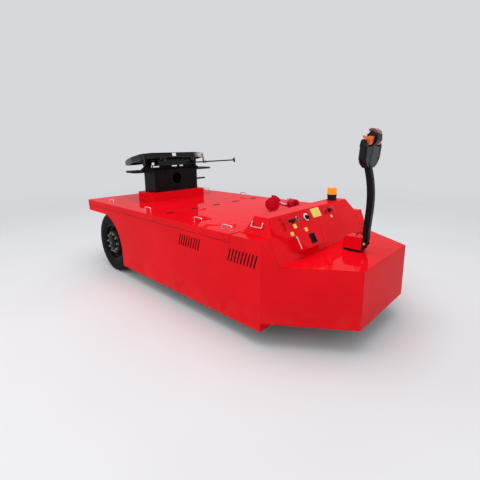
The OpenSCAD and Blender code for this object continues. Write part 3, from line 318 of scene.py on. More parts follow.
# Finish: its maker and the record's slot that it belongs to
FINISHES = {
    "enamel": (red_enamel, "red_paint"),
    "black": (black_enamel, "black_paint"),
    "coupling": (coupling_plate_steel, "black_paint"),
    "primer": (frame_primer, "chassis_paint"),
    # Polished and plated tube: near a mirror, with a faint haze
    "bright": (metal("bright_chromed_steel", "#D9DADC", "#A7A6A3", 0.1, 0.2, 0.004, 0.00002), "bright_steel"),
    # Blackened fasteners: dark and satin, a little brown
    "oxide": (metal("black_oxide_steel", "#2B2A2B", "#3D3836", 0.3, 0.45, 0.002, 0.00003), "machined_steel"),
    # Plated small fittings: pale and satin, yellowed in places
    "zinc": (metal("zinc_plated_steel", "#D2D3D2", "#A09D94", 0.26, 0.42, 0.002, 0.00004), "machined_steel"),
    # Turned and milled steel: mid grey, dulled by grime
    "machined": (metal("machined_steel", "#9C9A96", "#5E564C", 0.3, 0.48, 0.003, 0.00006), "machined_steel"),
    "rim": (black_enamel, "rim_paint"),
    "tyre": (rubber("tyre_rubber", "#0F0F12", "#3E3A37", WHEEL_CENTRE), "tyre_rubber"),
    "drive_tyre": (rubber("drive_tyre_polyurethane", "#1F1D1C", "#3E3934", DRIVE_CENTRE), "drive_rubber"),
    # Grained nylon: satin, with a fine texture that scatters the light
    "moulded": (plastic("black_moulded_nylon", "#17171A", "#2E2E31", 0.38, 0.5, 0.0012, 0.00006),
                "black_plastic"),
    "shell": (plastic("dark_grey_moulded_nylon", "#0F0F12", "#222226", 0.36, 0.48, 0.0012, 0.00005, 0.04),
              "tiller_shell"),
    "grey": (plastic("mid_grey_moulded_nylon", "#4C4E4E", "#5A5C5C", 0.4, 0.5, 0.0012, 0.00004),
             "tiller_shell"),
    "orange": (plastic("orange_moulded_nylon", "#E2642A", "#EE8248", 0.28, 0.4, 0.001, 0.00003, 0.3),
               "orange_plastic"),
    # Polished ABS: smooth and glossy, with soft scuffs
    "maroon": (plastic("maroon_gloss_abs", "#6E1F30", "#8C3A4C", 0.16, 0.26, 0.002, 0.00001, 0.6),
               "red_plastic"),
    "red_abs": (plastic("red_gloss_abs", "#BC0B25", "#CC2A40", 0.18, 0.3, 0.002, 0.00001, 0.3), "red_plastic"),
    "white": (plastic("white_gloss_abs", "#E6E7E8", "#CFCFCD", 0.25, 0.35, 0.002, 0.00001, 0.3),
              "black_plastic"),
    "lens": (amber_lens, "amber_lens"),
    "yellow": (yellow_plate, "red_paint"),
    "battery": (battery_shell, "battery_case"),
}
MADE = {}


def finish_of(key):
    """The material of a finish, made once."""
    maker = FINISHES[key][0]
    if maker not in MADE:
        MADE[maker] = maker(bpy.context.scene.tug_colours)
    return MADE[maker]


# Modelling helpers

def clear():
    """Leaves edit mode and deselects everything."""
    if bpy.context.object and bpy.context.object.mode != "OBJECT":
        bpy.ops.object.mode_set(mode="OBJECT")
    bpy.ops.object.select_all(action="DESELECT")


def hold(obj):
    """Selects one object alone and makes it the active one."""
    clear()
    obj.select_set(True)
    bpy.context.view_layer.objects.active = obj


def placed(name, data):
    """A new object in the scene, with its data."""
    obj = bpy.data.objects.new(name, data)
    bpy.context.scene.collection.objects.link(obj)
    return obj


def settled(name):
    """Names the new primitive and puts its place into its mesh."""
    obj = bpy.context.object
    obj.name = obj.data.name = name
    bpy.ops.object.transform_apply(location=True, rotation=True, scale=True)
    return obj


def slab(name, low, high):
    """A block from its lowest to its highest corner, to be shaped."""
    clear()
    low, high = Vector(low), Vector(high)
    bpy.ops.mesh.primitive_cube_add(size=1, location=(low + high) / 2, scale=high - low)
    return settled(name)


def rod(name, radius, start, end, sides=32):
    """A round bar between two points, to be shaped."""
    clear()
    start, end = Vector(start), Vector(end)
    turn = (end - start).to_track_quat("Z", "Y").to_euler()
    bpy.ops.mesh.primitive_cylinder_add(
        vertices=sides, radius=radius, depth=(end - start).length, location=(start + end) / 2, rotation=turn)
    return settled(name)


def pick(obj, test, kind="FACE"):
    """Enters edit mode with only the faces or edges selected that pass a test of their place and direction.

    A face's direction is its normal, and an edge's runs along it.
    """
    hold(obj)
    bpy.ops.object.mode_set(mode="EDIT")
    bpy.ops.mesh.select_mode(type=kind)
    bpy.ops.mesh.select_all(action="DESELECT")
    bpy.ops.object.mode_set(mode="OBJECT")
    mesh = obj.data
    if kind == "FACE":
        for face in mesh.polygons:
            face.select = test(face.center, face.normal)
    else:
        for edge in mesh.edges:
            a, b = (mesh.vertices[i].co for i in edge.vertices)
            edge.select = test((a + b) / 2, (b - a).normalized())
    bpy.ops.object.mode_set(mode="EDIT")


def done_editing():
    bpy.ops.object.mode_set(mode="OBJECT")


def sink(obj, test, rim, shift):
    """Leaves a rim round the faces that pass a test, and moves what is inside it."""
    pick(obj, test)
    bpy.ops.mesh.inset(thickness=rim)
    bpy.ops.mesh.extrude_region_move(TRANSFORM_OT_translate={"value": shift})
    done_editing()


def round_corners(obj, radius, segments):
    """Rounds a slab's upright edges."""
    pick(obj, lambda spot, along: abs(along.z) > 0.9, "EDGE")
    bpy.ops.mesh.bevel(offset=radius, segments=segments, affect="EDGES")
    done_editing()


def apply_modifier(obj, kind, **settings):
    """Adds a modifier, sets it and applies it."""
    hold(obj)
    modifier = obj.modifiers.new(kind.lower(), kind)
    for key, value in settings.items():
        setattr(modifier, key, value)
    bpy.ops.object.modifier_apply(modifier=modifier.name)


def smooth(obj, angle=35):
    """Shades a piece smooth, apart from edges sharper than an angle in degrees."""
    hold(obj)
    bpy.ops.object.shade_smooth_by_angle(angle=math.radians(angle))
    return obj


def eased(obj, width, segments=2, angle=40):
    """Rounds the sharp edges and shades the rest smooth."""
    smooth(obj)
    apply_modifier(obj, "BEVEL", width=width, segments=segments, limit_method="ANGLE",
                   angle_limit=math.radians(angle), harden_normals=True, use_clamp_overlap=True)
    return obj


def moved(obj, matrix):
    """Moves a piece by a matrix that goes straight into its mesh."""
    obj.data.transform(matrix)
    obj.data.update()
    return obj


def joined(name, parts):
    """Joins two parts or more into one mesh."""
    hold(parts[0])
    for part in parts:
        part.select_set(True)
    bpy.ops.object.join()
    parts[0].name = parts[0].data.name = name
    return parts[0]


def repeated(name, pattern, places):
    """Copies a pattern to each place, each copy with its own mesh, and joins them. The pattern itself goes."""
    parts = []
    for place in places:
        part = placed(name, pattern.data.copy())
        part.data.transform(place)
        if place.determinant() < 0:
            part.data.flip_normals()
        parts.append(part)
    bpy.data.objects.remove(pattern)
    return joined(name, parts)


def turned(name, rows, sides=48, cap=True):
    """Turns a shape about Z by extruding a circle: each row is a radius and a height."""
    clear()
    radius, height = rows[0]
    bpy.ops.mesh.primitive_circle_add(
        vertices=sides, radius=radius, fill_type="NGON" if cap else "NOTHING", location=(0, 0, height))
    obj = settled(name)
    bpy.ops.object.mode_set(mode="EDIT")
    bpy.ops.mesh.select_mode(type="VERT")
    bpy.ops.mesh.select_all(action="SELECT")
    for next_radius, next_height in rows[1:]:
        bpy.ops.mesh.extrude_region_move(TRANSFORM_OT_translate={"value": (0, 0, next_height - height)})
        if abs(next_radius - radius) > 1e-7:
            share = next_radius / radius
            bpy.ops.transform.resize(value=(share, share, 1), center_override=(0, 0, next_height))
        radius, height = next_radius, next_height
    bpy.ops.mesh.select_all(action="SELECT")
    bpy.ops.mesh.remove_doubles(threshold=1e-6)
    bpy.ops.mesh.normals_make_consistent(inside=False)
    done_editing()
    return obj


def dress(obj, finish, *nodes, body="chassis"):
    """Gives a finished piece its material and body, and hides the CAD nodes that it stands for."""
    obj.data.materials.clear()
    obj.data.materials.append(finish_of(finish))
    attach(obj, body)
    if nodes:
        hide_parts(*nodes)
    return obj


def dress_copies(name, pattern, places, finish, angle=None, body="chassis"):
    """Copies a pattern to each place as one finished piece, shaded smooth if an angle is given."""
    obj = repeated(name, pattern, places)
    dress(smooth(obj, angle) if angle else obj, finish, body=body)


def dress_turned(name, rows, sides, place, finish, angle=35, cap=True, body="chassis"):
    """Turns one piece, puts it in its place and finishes it."""
    dress(smooth(moved(turned(name, rows, sides, cap), place), angle), finish, body=body)


def copied(name, node, whole_faces):
    """A copy of a CAD node with its loose triangles merged, and joined into whole flat faces if asked."""
    obj = placed(name, NODES[node].data.copy())
    hold(obj)
    bpy.ops.mesh.customdata_custom_splitnormals_clear()
    bpy.ops.object.mode_set(mode="EDIT")
    bpy.ops.mesh.select_all(action="SELECT")
    bpy.ops.mesh.remove_doubles(threshold=2e-5)
    if whole_faces:
        bpy.ops.mesh.dissolve_limited(angle_limit=math.radians(0.4))
    done_editing()
    return obj


def skin(node, finish, width, segments=2, angle=40):
    """A copy of a CAD node with its edges rounded, which stands for the node."""
    obj = eased(copied(node + "_skin", node, True), width, segments, angle)
    dress(obj, finish, node, body=NODES[node]["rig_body"])


def plate(name, face, x, y, width, height, thick=0.0008, corner=0.004):
    """A thin plate with rounded corners, laid on a face."""
    obj = slab(name, (x - width / 2, y - height / 2, 0), (x + width / 2, y + height / 2, thick))
    round_corners(obj, corner, 4)
    return moved(obj, face)


def button_screw(radius, height):
    """A button-head screw with a socket, on Z."""
    profile = ((1, 0), (1, 0.25), (0.93, 0.62), (0.72, 0.9), (0.5, 1))
    obj = turned("screw", [(radius * r, height * z) for r, z in profile], 20)
    sink(obj, lambda spot, normal: normal.z > 0.9 and spot.z > height * 0.98, radius * 0.1,
         (0, 0, -height * 0.5))
    return smooth(obj, 50)


def hex_bolt(across_flats, height):
    """A hex head with its chamfer, on a washer, on Z."""
    radius, washer = across_flats / math.sqrt(3), 0.0025
    head = rod("bolt", radius, (0, 0, washer), (0, 0, washer + height), 6)
    pick(head, lambda spot, normal: normal.z > 0.9)
    bpy.ops.mesh.bevel(offset=radius * 0.16, segments=1, affect="EDGES")
    done_editing()
    return joined("bolt", [head, eased(rod("washer", radius * 1.18, (0, 0, 0), (0, 0, washer), 24), 0.0006, 1)])


def at(x, y, z, axis=(0, 0, 1)):
    """A place whose Z points along an axis."""
    return Matrix.Translation((x, y, z)) @ Vector(axis).to_track_quat("Z", "Y").to_matrix().to_4x4()


def on(face, x, y, out=0.0):
    """A place on a face, or that far out of it."""
    return face @ Matrix.Translation((x, y, out))


MIRROR = Matrix.Scale(-1, 4, (0, 1, 0))


def both(places):
    """The places and their mirror images on the vehicle's other side."""
    return list(places) + [MIRROR @ place for place in places]


SIDES = both([Matrix.Identity(4)])


def weld(name, radius, x0, y0, x1, y1, z):
    """A weld bead round a level rectangle: overlapping flattened ripples that sway a little."""
    pitch = 0.0045
    clear()
    bpy.ops.mesh.primitive_ico_sphere_add(subdivisions=1, radius=radius)
    ripple = settled("ripple")
    corners = [Vector(corner) for corner in ((x0, y0, z), (x1, y0, z), (x1, y1, z), (x0, y1, z), (x0, y0, z))]
    places = []
    for start, end in zip(corners, corners[1:]):
        count = int((end - start).length / pitch)
        turn = (end - start).to_track_quat("X", "Z").to_matrix().to_4x4()
        for i in range(count):
            sway = Matrix.Translation((0, 0.12 * radius * math.sin(i * 1.7), 0))
            flat = Matrix.Diagonal((0.9, 1.0, 0.85, 1))
            places.append(Matrix.Translation(start.lerp(end, i / count)) @ turn @ sway @ flat)
    return smooth(repeated(name, ripple, places), 80)


# Settings

def colour(name, what, default):
    """A colour that the user may change."""
    return bpy.props.StringProperty(name=name, description="sRGB hex colour of " + what, default=default)


def length(name, description, default):
    """A length that the user may change."""
    return bpy.props.FloatProperty(
        name=name, description=description, default=default, unit="LENGTH", subtype="DISTANCE")


class TUG_PG_colours(bpy.types.PropertyGroup):
    body_red: colour("Body red", "the body enamel", "#E60A18")
    body_red_deep: colour("Deep red", "the enamel's deeper clouds", "#DC0916")
    chassis_black: colour("Chassis black", "the coupling's and tiller's enamel", "#0D0B0C")
    road_dust: colour("Road dust", "the film low on the body", "#8A7468")


class TUG_PG_sizes(bpy.types.PropertyGroup):
    flange_screw: length("Flange screw", "Head radius of the screws in the deck's side flanges", 0.0095)
    panel_screw: length("Panel screw", "Head radius of the screws in the console and nose plates", 0.0075)
    sheet_edge: length("Folded edge", "Radius of the body's folded edges", 0.003)
    tread_lugs: bpy.props.IntProperty(
        name="Tread lugs", description="Shoulder lugs round each rear tyre", default=42, min=30, max=60)
    tread_depth: length("Lug depth", "Depth of the cuts between shoulder lugs", 0.013)


class Step:
    """What the operators share."""
    bl_options = {"REGISTER", "UNDO"}

    def execute(self, context):
        self.build(context.scene.tug_sizes)
        clear()
        return {"FINISHED"}


# Pieces, in the order in which they are made

class TUG_OT_camera(Step, bpy.types.Operator):
    """Places the camera at the photograph's viewing angle"""
    bl_idname = "tug.camera"
    bl_label = "Camera"
    PLACE = (2.76365, -2.66996, 1.57027)
    RIGHT = (0.722912, 0.690885, -0.008739)
    UP = (-0.131336, 0.14982, 0.979952)
    BACK = (0.678343, -0.707271, 0.199044)

    def build(self, sizes):
        lens = bpy.data.cameras.new("camera")
        lens.sensor_width = 36.0
        lens.lens = 24.72
        lens.shift_y = -0.0552
        lens.clip_end = 400
        camera = placed("camera", lens)
        turn = Matrix((self.RIGHT, self.UP, self.BACK)).transposed().to_4x4()
        camera.matrix_world = Matrix.Translation(self.PLACE) @ turn
        bpy.context.scene.camera = camera


class TUG_OT_lead(Step, bpy.types.Operator):
    """Lays the short control lead from the steering cap into the foot of the tiller arm"""
    bl_idname = "tug.lead"
    bl_label = "Tiller lead"
    POINTS = 16
    # How far it runs forwards and to the left, how high it arches, and how much higher it ends
    RUN, ACROSS, ARCH, CLIMB = 0.062, 0.012, 0.034, 0.006

    def build(self, sizes):
        cap_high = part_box("steering_cap")[1]
        x0, y0, z0 = cap_high.x - 0.058, -0.028, cap_high.z - 0.003
        points = []
        for i in range(self.POINTS):
            t = i / (self.POINTS - 1)
            arch = math.sin(math.pi * (0.08 + 0.84 * t))
            points.append((x0 + self.RUN * t - 0.004 * math.sin(math.pi * t), y0 + self.ACROSS * t,
                           z0 + self.ARCH * arch + self.CLIMB * t))
        curve = bpy.data.curves.new("tiller_lead", "CURVE")
        curve.dimensions = "3D"
        curve.bevel_depth = 0.0045
        curve.bevel_resolution = 4
        spline = curve.splines.new("POLY")
        spline.points.add(len(points) - 1)
        for point, place in zip(spline.points, points):
            point.co = (*place, 1)
        obj = placed("tiller_lead", curve)
        curve.materials.append(finish_of("moulded"))
        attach(obj, "steering")


class TUG_OT_panels(Step, bpy.types.Operator):
    """Rounds the folded edges of the body's sheet panels and gives them their enamel"""
    bl_idname = "tug.panels"
    bl_label = "Body panels"

    def build(self, sizes):
        for node in ("side_panel_right", "side_panel_left", "nose_side_right", "nose_side_left",
                     "slope_panel", "front_wall", "rear_wall", "front_cover"):
            skin(node, "enamel", sizes.sheet_edge * 0.4)
        for node in ("deck_plate_rear", "deck_plate_middle", "deck_plate_front", "console", "riser",
                     "nose_front", "nose_top_right", "nose_top_left", "steering_cap"):
            skin(node, "enamel", sizes.sheet_edge)


class TUG_OT_body_screws(Step, bpy.types.Operator):
    """Drives the screws along the deck's flanges and into the nose plates, and lays a dark strip under each
    flange as painted shade
    """
    bl_idname = "tug.body_screws"
    bl_label = "Body screws and seams"
    FLANGE_X = (-1.828, -1.428, -1.008, -0.597, -0.241, -0.15, 0.197, 0.533, 0.63, 0.859)
    BELOW_DECK = 0.051
    # Forwards from the body's front, and to the left
    NOSE = ((0.157, -0.727), (0.572, -0.409), (0.4, -0.54))
    NOSE_BARE = (0.133, 0.02)

    def build(self, sizes):
        places = both([at(x, -HALF_WIDTH, DECK_Z - self.BELOW_DECK, (0, -1, 0)) for x in self.FLANGE_X])
        dress_copies("flange_screws", button_screw(sizes.flange_screw, 0.0055), places, "enamel")
        # A dark steel disc over each flange screw's socket: partly bare steel, partly painted shade in the
        # socket
        socket = rod("socket", sizes.flange_screw * 0.5, (0, 0, 0.003), (0, 0, 0.0056), 16)
        dress_copies("flange_socket_shade", socket, places, "oxide")
        # A dark rubber strip under each flange's lower edge: painted shade in the gap between flange and panel
        painted_shade_strip = slab("painted_shade_strip", (DECK_LOW.x + 0.002, -HALF_WIDTH + 0.0005, FLANGE_Z - 0.003),
                    (FRONT_PLATE_X - 0.001, -HALF_WIDTH + 0.006, FLANGE_Z + 0.0005))
        dress_copies("flange_painted_shade_strips", painted_shade_strip, SIDES, "tyre")
        places = both([at(BODY_FRONT + x, y, NOSE_Z) for x, y in self.NOSE])
        dress_copies("nose_screws", button_screw(sizes.panel_screw, 0.004), places, "enamel")
        x, y = self.NOSE_BARE
        bare = moved(button_screw(sizes.panel_screw, 0.005), at(BODY_FRONT + x, y, NOSE_Z))
        dress(bare, "oxide").name = "nose_bare_screw"


class TUG_OT_louvre_screens(Step, bpy.types.Operator):
    """Fits a dark fly screen behind each set of louvres, which also stands in for the shade inside the body"""
    bl_idname = "tug.louvre_screens"
    bl_label = "Louvre screens"

    def build(self, sizes):
        parts = []
        for x in (FRONT_PLATE_X - 0.68, FRONT_PLATE_X):
            # Each screen is a dark sheet behind the slots: a fly screen that also stands in for the shade inside
            # the body
            screen = slab("screen", (x - 0.055, -HALF_WIDTH + 0.0085, 0.632),
                          (x + 0.315, -HALF_WIDTH + 0.0115, 0.772))
            sink(screen, lambda spot, normal: normal.y < -0.9, 0.006, (0, 0.0015, 0))
            parts.append(screen)
        screens = joined("louvre_screens", parts)
        dress_copies("louvre_screens", screens, SIDES, "black")


class TUG_OT_deck_fittings(Step, bpy.types.Operator):
    """Sets a black moulded cup in each finger slot and lays the riser's weld bead"""
    bl_idname = "tug.deck_fittings"
    bl_label = "Deck fittings"
    SLOTS, SLOT_PITCH = 5, 0.335

    def build(self, sizes):
        cup = slab("cup", (-0.0205, -0.0565, 0.0002), (0.0205, 0.0565, 0.0016))
        round_corners(cup, 0.0204, 8)
        # The underside is drawn down into a cup, and then its inside
        for side, rim, depth in ((-1, 0.0078, -0.024), (1, 0.0088, -0.0245)):
            sink(cup, lambda spot, normal: normal.z * side > 0.9, rim, (0, 0, depth))
        slots = [at(MIDDLE_X, (i - self.SLOTS // 2) * self.SLOT_PITCH, DECK_Z) for i in range(self.SLOTS)]
        dress_copies("slot_cups", cup, slots, "moulded", 40)
        low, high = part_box("riser")
        dress(weld("riser_weld", 0.0045, low.x, low.y, high.x, high.y, low.z + 0.001), "enamel")


class TUG_OT_console(Step, bpy.types.Operator):
    """Lays the console's bare plates, discs, sleeve, boot, screws and collars"""
    bl_idname = "tug.console"
    bl_label = "Console"
    # Across the face, height above the ground, width, height
    PLATES = {"console_plate": (0.006, 0.9605, 0.143, 0.088), "lever_plate": (-0.382, 0.903, 0.042, 0.038),
              "stop_plate": (0.234, 0.895, 0.03, 0.028)}
    # Finish, sides, smoothing angle, whether its foot is closed, across and up the face, and its rows
    TURNED = {
        "key_disc": ("white", 40, 35, True, -0.168, 0.087, [
            (0.036, 0), (0.036, 0.002), (0.0345, 0.003), (0.024, 0.003)]),
        "stop_sleeve": ("moulded", 36, 35, False, 0.234, 0.090, [
            (0.0215, 0), (0.0215, 0.009), (0.0145, 0.0105), (0.0145, 0.0345)]),
        "red_disc": ("red_abs", 40, 35, True, 0.146, up_console(0.947), [
            (0.029, 0), (0.029, 0.0035), (0.0285, 0.004), (0.012, 0.004)]),
        "lever_boot": ("moulded", 28, 60, True, -0.385, 0.086, [
            (0.021, 0), (0.021, 0.003), (0.0165, 0.005), (0.018, 0.008), (0.0145, 0.0105), (0.0155, 0.0135),
            (0.0115, 0.016), (0.0125, 0.019), (0.009, 0.022), (0.006, 0.025)])}
    FOOT_BACK = (0.28, 0.16, 0.035)
    REAR_Y = (-0.6, -0.35, -0.12)
    COLLAR = [(0.018, 0), (0.018, 0.003), (0.0165, 0.0045), (0.0152, 0.0045), (0.0152, 0.001)]
    COLLARS = ((-0.306, 0.100), (-0.288, 0.072))

    def build(self, sizes):
        for name, (y, z, width, height) in self.PLATES.items():
            dress(plate(name, CONSOLE_FACE, y, up_console(z), width, height), "yellow")
        for name, (finish, sides, angle, closed, y, up, rows) in self.TURNED.items():
            dress_turned(name, rows, sides, on(CONSOLE_FACE, y, up), finish, angle, closed)
        corners = [on(CONSOLE_FACE, y, up_console(z)) for z in (0.984, 0.888) for y in (-0.62, 0.62)]
        dress_copies("console_screws", button_screw(sizes.panel_screw * 0.8, 0.0035), corners, "enamel")
        foot = [at(BODY_FRONT - back, -CONSOLE_HALF - 0.014, DECK_Z) for back in self.FOOT_BACK]
        rear = [at(CONSOLE_LOW.x + 0.013, y, DECK_Z) for y in self.REAR_Y]
        dress_copies("foot_screws", button_screw(sizes.panel_screw, 0.004), both(foot + rear), "enamel")
        places = [on(CONSOLE_FACE, y, up) for y, up in self.COLLARS]
        dress_copies("switch_collars", turned("collar", self.COLLAR, 32), places, "bright", 35)


class TUG_OT_slope(Step, bpy.types.Operator):
    """Dresses the sloping panel: borders, plates, screws and the charging cover"""
    bl_idname = "tug.slope"
    bl_label = "Slope and charging cover"
    BORDER_Y, BORDER_THICK = 0.733, 0.002
    PLATES = {"slope_plate_right": -0.468, "slope_plate_left": -0.26}
    # Across the face and down it: screws on the borders, then on the panel
    BORDER_SCREWS = ((-0.728, 0.062), (-0.728, 0.157), (0.728, 0.062), (0.728, 0.157))
    PANEL_SCREWS = ((0.338, 0.107), (-0.02, 0.03), (-0.02, 0.19), (0.338, 0.03))

    def build(self, sizes):
        borders = [eased(plate("border", SLOPE_FACE, y, -SLOPE_LENGTH / 2 + 0.002, 0.072, SLOPE_LENGTH - 0.018,
                               self.BORDER_THICK), 0.0006, 1) for y in (-self.BORDER_Y, self.BORDER_Y)]
        dress(joined("slope_borders", borders), "enamel")
        for name, y in self.PLATES.items():
            dress(plate(name, SLOPE_FACE, y, -0.021, 0.042, 0.034), "yellow")
        places = [on(SLOPE_FACE, y, -down, self.BORDER_THICK) for y, down in self.BORDER_SCREWS]
        places += [on(SLOPE_FACE, y, -down) for y, down in self.PANEL_SCREWS]
        dress_copies("slope_screws", button_screw(sizes.panel_screw, 0.004), places, "enamel")
        skin("charge_door", "enamel", 0.0016)


class TUG_OT_controls(Step, bpy.types.Operator):
    """Rounds the console's moulded controls and the charging cover's grille"""
    bl_idname = "tug.controls"
    bl_label = "Moulded controls"

    def build(self, sizes):
        skin("console_controls", "moulded", 0.0008)
        skin("console_switches", "red_abs", 0.0016)
        skin("emergency_stop", "red_abs", 0.0006, 1)
        skin("charge_grille", "moulded", 0.0012)


class TUG_OT_beacon(Step, bpy.types.Operator):
    """Builds the beacon's ribbed lens with the lamp and reflector inside, and its base"""
    bl_idname = "tug.beacon"
    bl_label = "Beacon"
    RIBS, RIB_DEPTH, FOOT = 7, 0.0012, 0.004
    DOME_RADIUS, DOME_HEIGHT, DOME_ANGLES = 0.014, 0.016, (15, 35, 55, 75)
    LAMP = [(0.012, 0.001), (0.012, 0.012), (0.008, 0.014), (0.009, 0.03), (0.0105, 0.038), (0.008, 0.046),
            (0.002, 0.049)]
    REFLECTOR = [(0.040, 0.001), (0.040, 0.0025), (0.032, 0.0035), (0.018, 0.009), (0.014, 0.012)]

    def build(self, sizes):
        low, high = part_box("beacon_lens")
        centre = (low + high) / 2
        radius, height = (high.x - low.x) / 2, high.z - low.z
        place = Matrix.Translation((centre.x, centre.y, low.z))
        wall = height - self.DOME_HEIGHT
        step = (wall - self.FOOT) / self.RIBS
        rows = [(radius, 0)]
        for i in range(self.RIBS):
            z = self.FOOT + step * i
            rows += [(radius, z), (radius - self.RIB_DEPTH, z + step * 0.4), (radius, z + step * 0.85)]
        for angle in (math.radians(a) for a in self.DOME_ANGLES):
            rows.append((radius - self.DOME_RADIUS * (1 - math.cos(angle)),
                         wall + self.DOME_HEIGHT * math.sin(angle)))
        rows += [(radius * 0.45, height), (0.0012, height)]
        lens = turned("beacon_lens_shell", rows, 64, cap=False)
        apply_modifier(lens, "SOLIDIFY", thickness=0.0028, offset=-1.0)
        dress(smooth(moved(lens, place), 28), "lens", "beacon_lens")
        dress_turned("beacon_lamp", self.LAMP, 28, place, "white", 60)
        dress_turned("beacon_reflector", self.REFLECTOR, 40, place, "bright", 50)
        skin("beacon_base", "moulded", 0.001)


class TUG_OT_air_couplings(Step, bpy.types.Operator):
    """Finishes the red couplings behind the console and their bright tube"""
    bl_idname = "tug.air_couplings"
    bl_label = "Air couplings"
    TUBE_START, TUBE_END = (0.602, 0.222, 0.950), (0.629, 0.338, 0.913)

    def build(self, sizes):
        skin("deck_couplings", "red_abs", 0.0025, 2, 30)
        dress(eased(rod("coupling_tube", 0.0163, self.TUBE_START, self.TUBE_END), 0.002), "bright")


class TUG_OT_coupling(Step, bpy.types.Operator):
    """Finishes the pedestal, brackets and coupling plate with their welds, bolts, pin caps, tie and bare tag"""
    bl_idname = "tug.coupling"
    bl_label = "Coupling"
    WELD_HALF = 0.348
    BRACKET_Y = 0.37
    # The tie between the brackets: how far its ends are from the middle, its posts' ends, and its thickness
    TIE_HALF, TIE_THICK = 0.318, 0.012
    POSTS = ((-0.317, -0.306), (-0.206, -0.006), (0.081, 0.122), (0.185, 0.317))
    PIN_CAP = [(0.026, 0), (0.026, 0.004), (0.022, 0.006), (0.0215, 0.009)]

    def build(self, sizes):
        skin("pedestal", "black", 0.002)
        skin("mount_plate", "black", 0.002)
        skin("rocker_brackets", "black", 0.003)
        skin("fifth_wheel", "coupling", 0.003, 2, 32)
        skin("release_handle", "black", 0.001, 1)
        # The plate rests 10 degrees back, and the tag is on its rear rim
        rim = Matrix.Translation(pivot("coupling_rock")) @ Matrix.Rotation(math.radians(-10), 4, "Y")
        face = rim @ Matrix.Translation((0.207, 0, 0.087)) @ Matrix(((0, 0, 1), (1, 0, 0), (0, 1, 0))).to_4x4()
        dress(plate("bare_tag", face, -0.075, 0, 0.058, 0.042, corner=0.002), "white", body="coupling")
        low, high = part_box("mount_plate")
        foot_z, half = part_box("pedestal")[0].z + 0.001, self.WELD_HALF
        dress(weld("pedestal_weld", 0.0048, low.x, -half, high.x, half, foot_z), "black")
        dress(weld("mount_weld", 0.0045, low.x + 0.002, -half, high.x - 0.002, half, low.z - 0.002), "black")
        x = (low.x + high.x) / 2
        bolts = both([at(x + dx, self.BRACKET_Y + dy, high.z + 0.014)
                      for dx in (-0.088, 0.088) for dy in (-0.017, 0.017)])
        dress_copies("bracket_bolts", hex_bolt(0.019, 0.010), bolts, "oxide")
        back, z = x + 0.020, high.z
        front = back + self.TIE_THICK
        tie = [slab("rail", (back, -self.TIE_HALF, z + low_z), (front, self.TIE_HALF, z + high_z))
               for low_z, high_z in ((0, 0.031), (0.051, 0.062))]
        tie += [slab("post", (back + 0.0005, y0, z + 0.030), (front - 0.0005, y1, z + 0.052))
                for y0, y1 in self.POSTS]
        dress(eased(joined("bracket_tie", tie), 0.0012, 1), "black")
        ends = both([at(x, self.BRACKET_Y + side * 0.047, high.z + 0.076, (0, side, 0)) for side in (-1, 1)])
        dress_copies("rocker_pin_caps", turned("pin_cap", self.PIN_CAP, 32), ends, "oxide", 35)


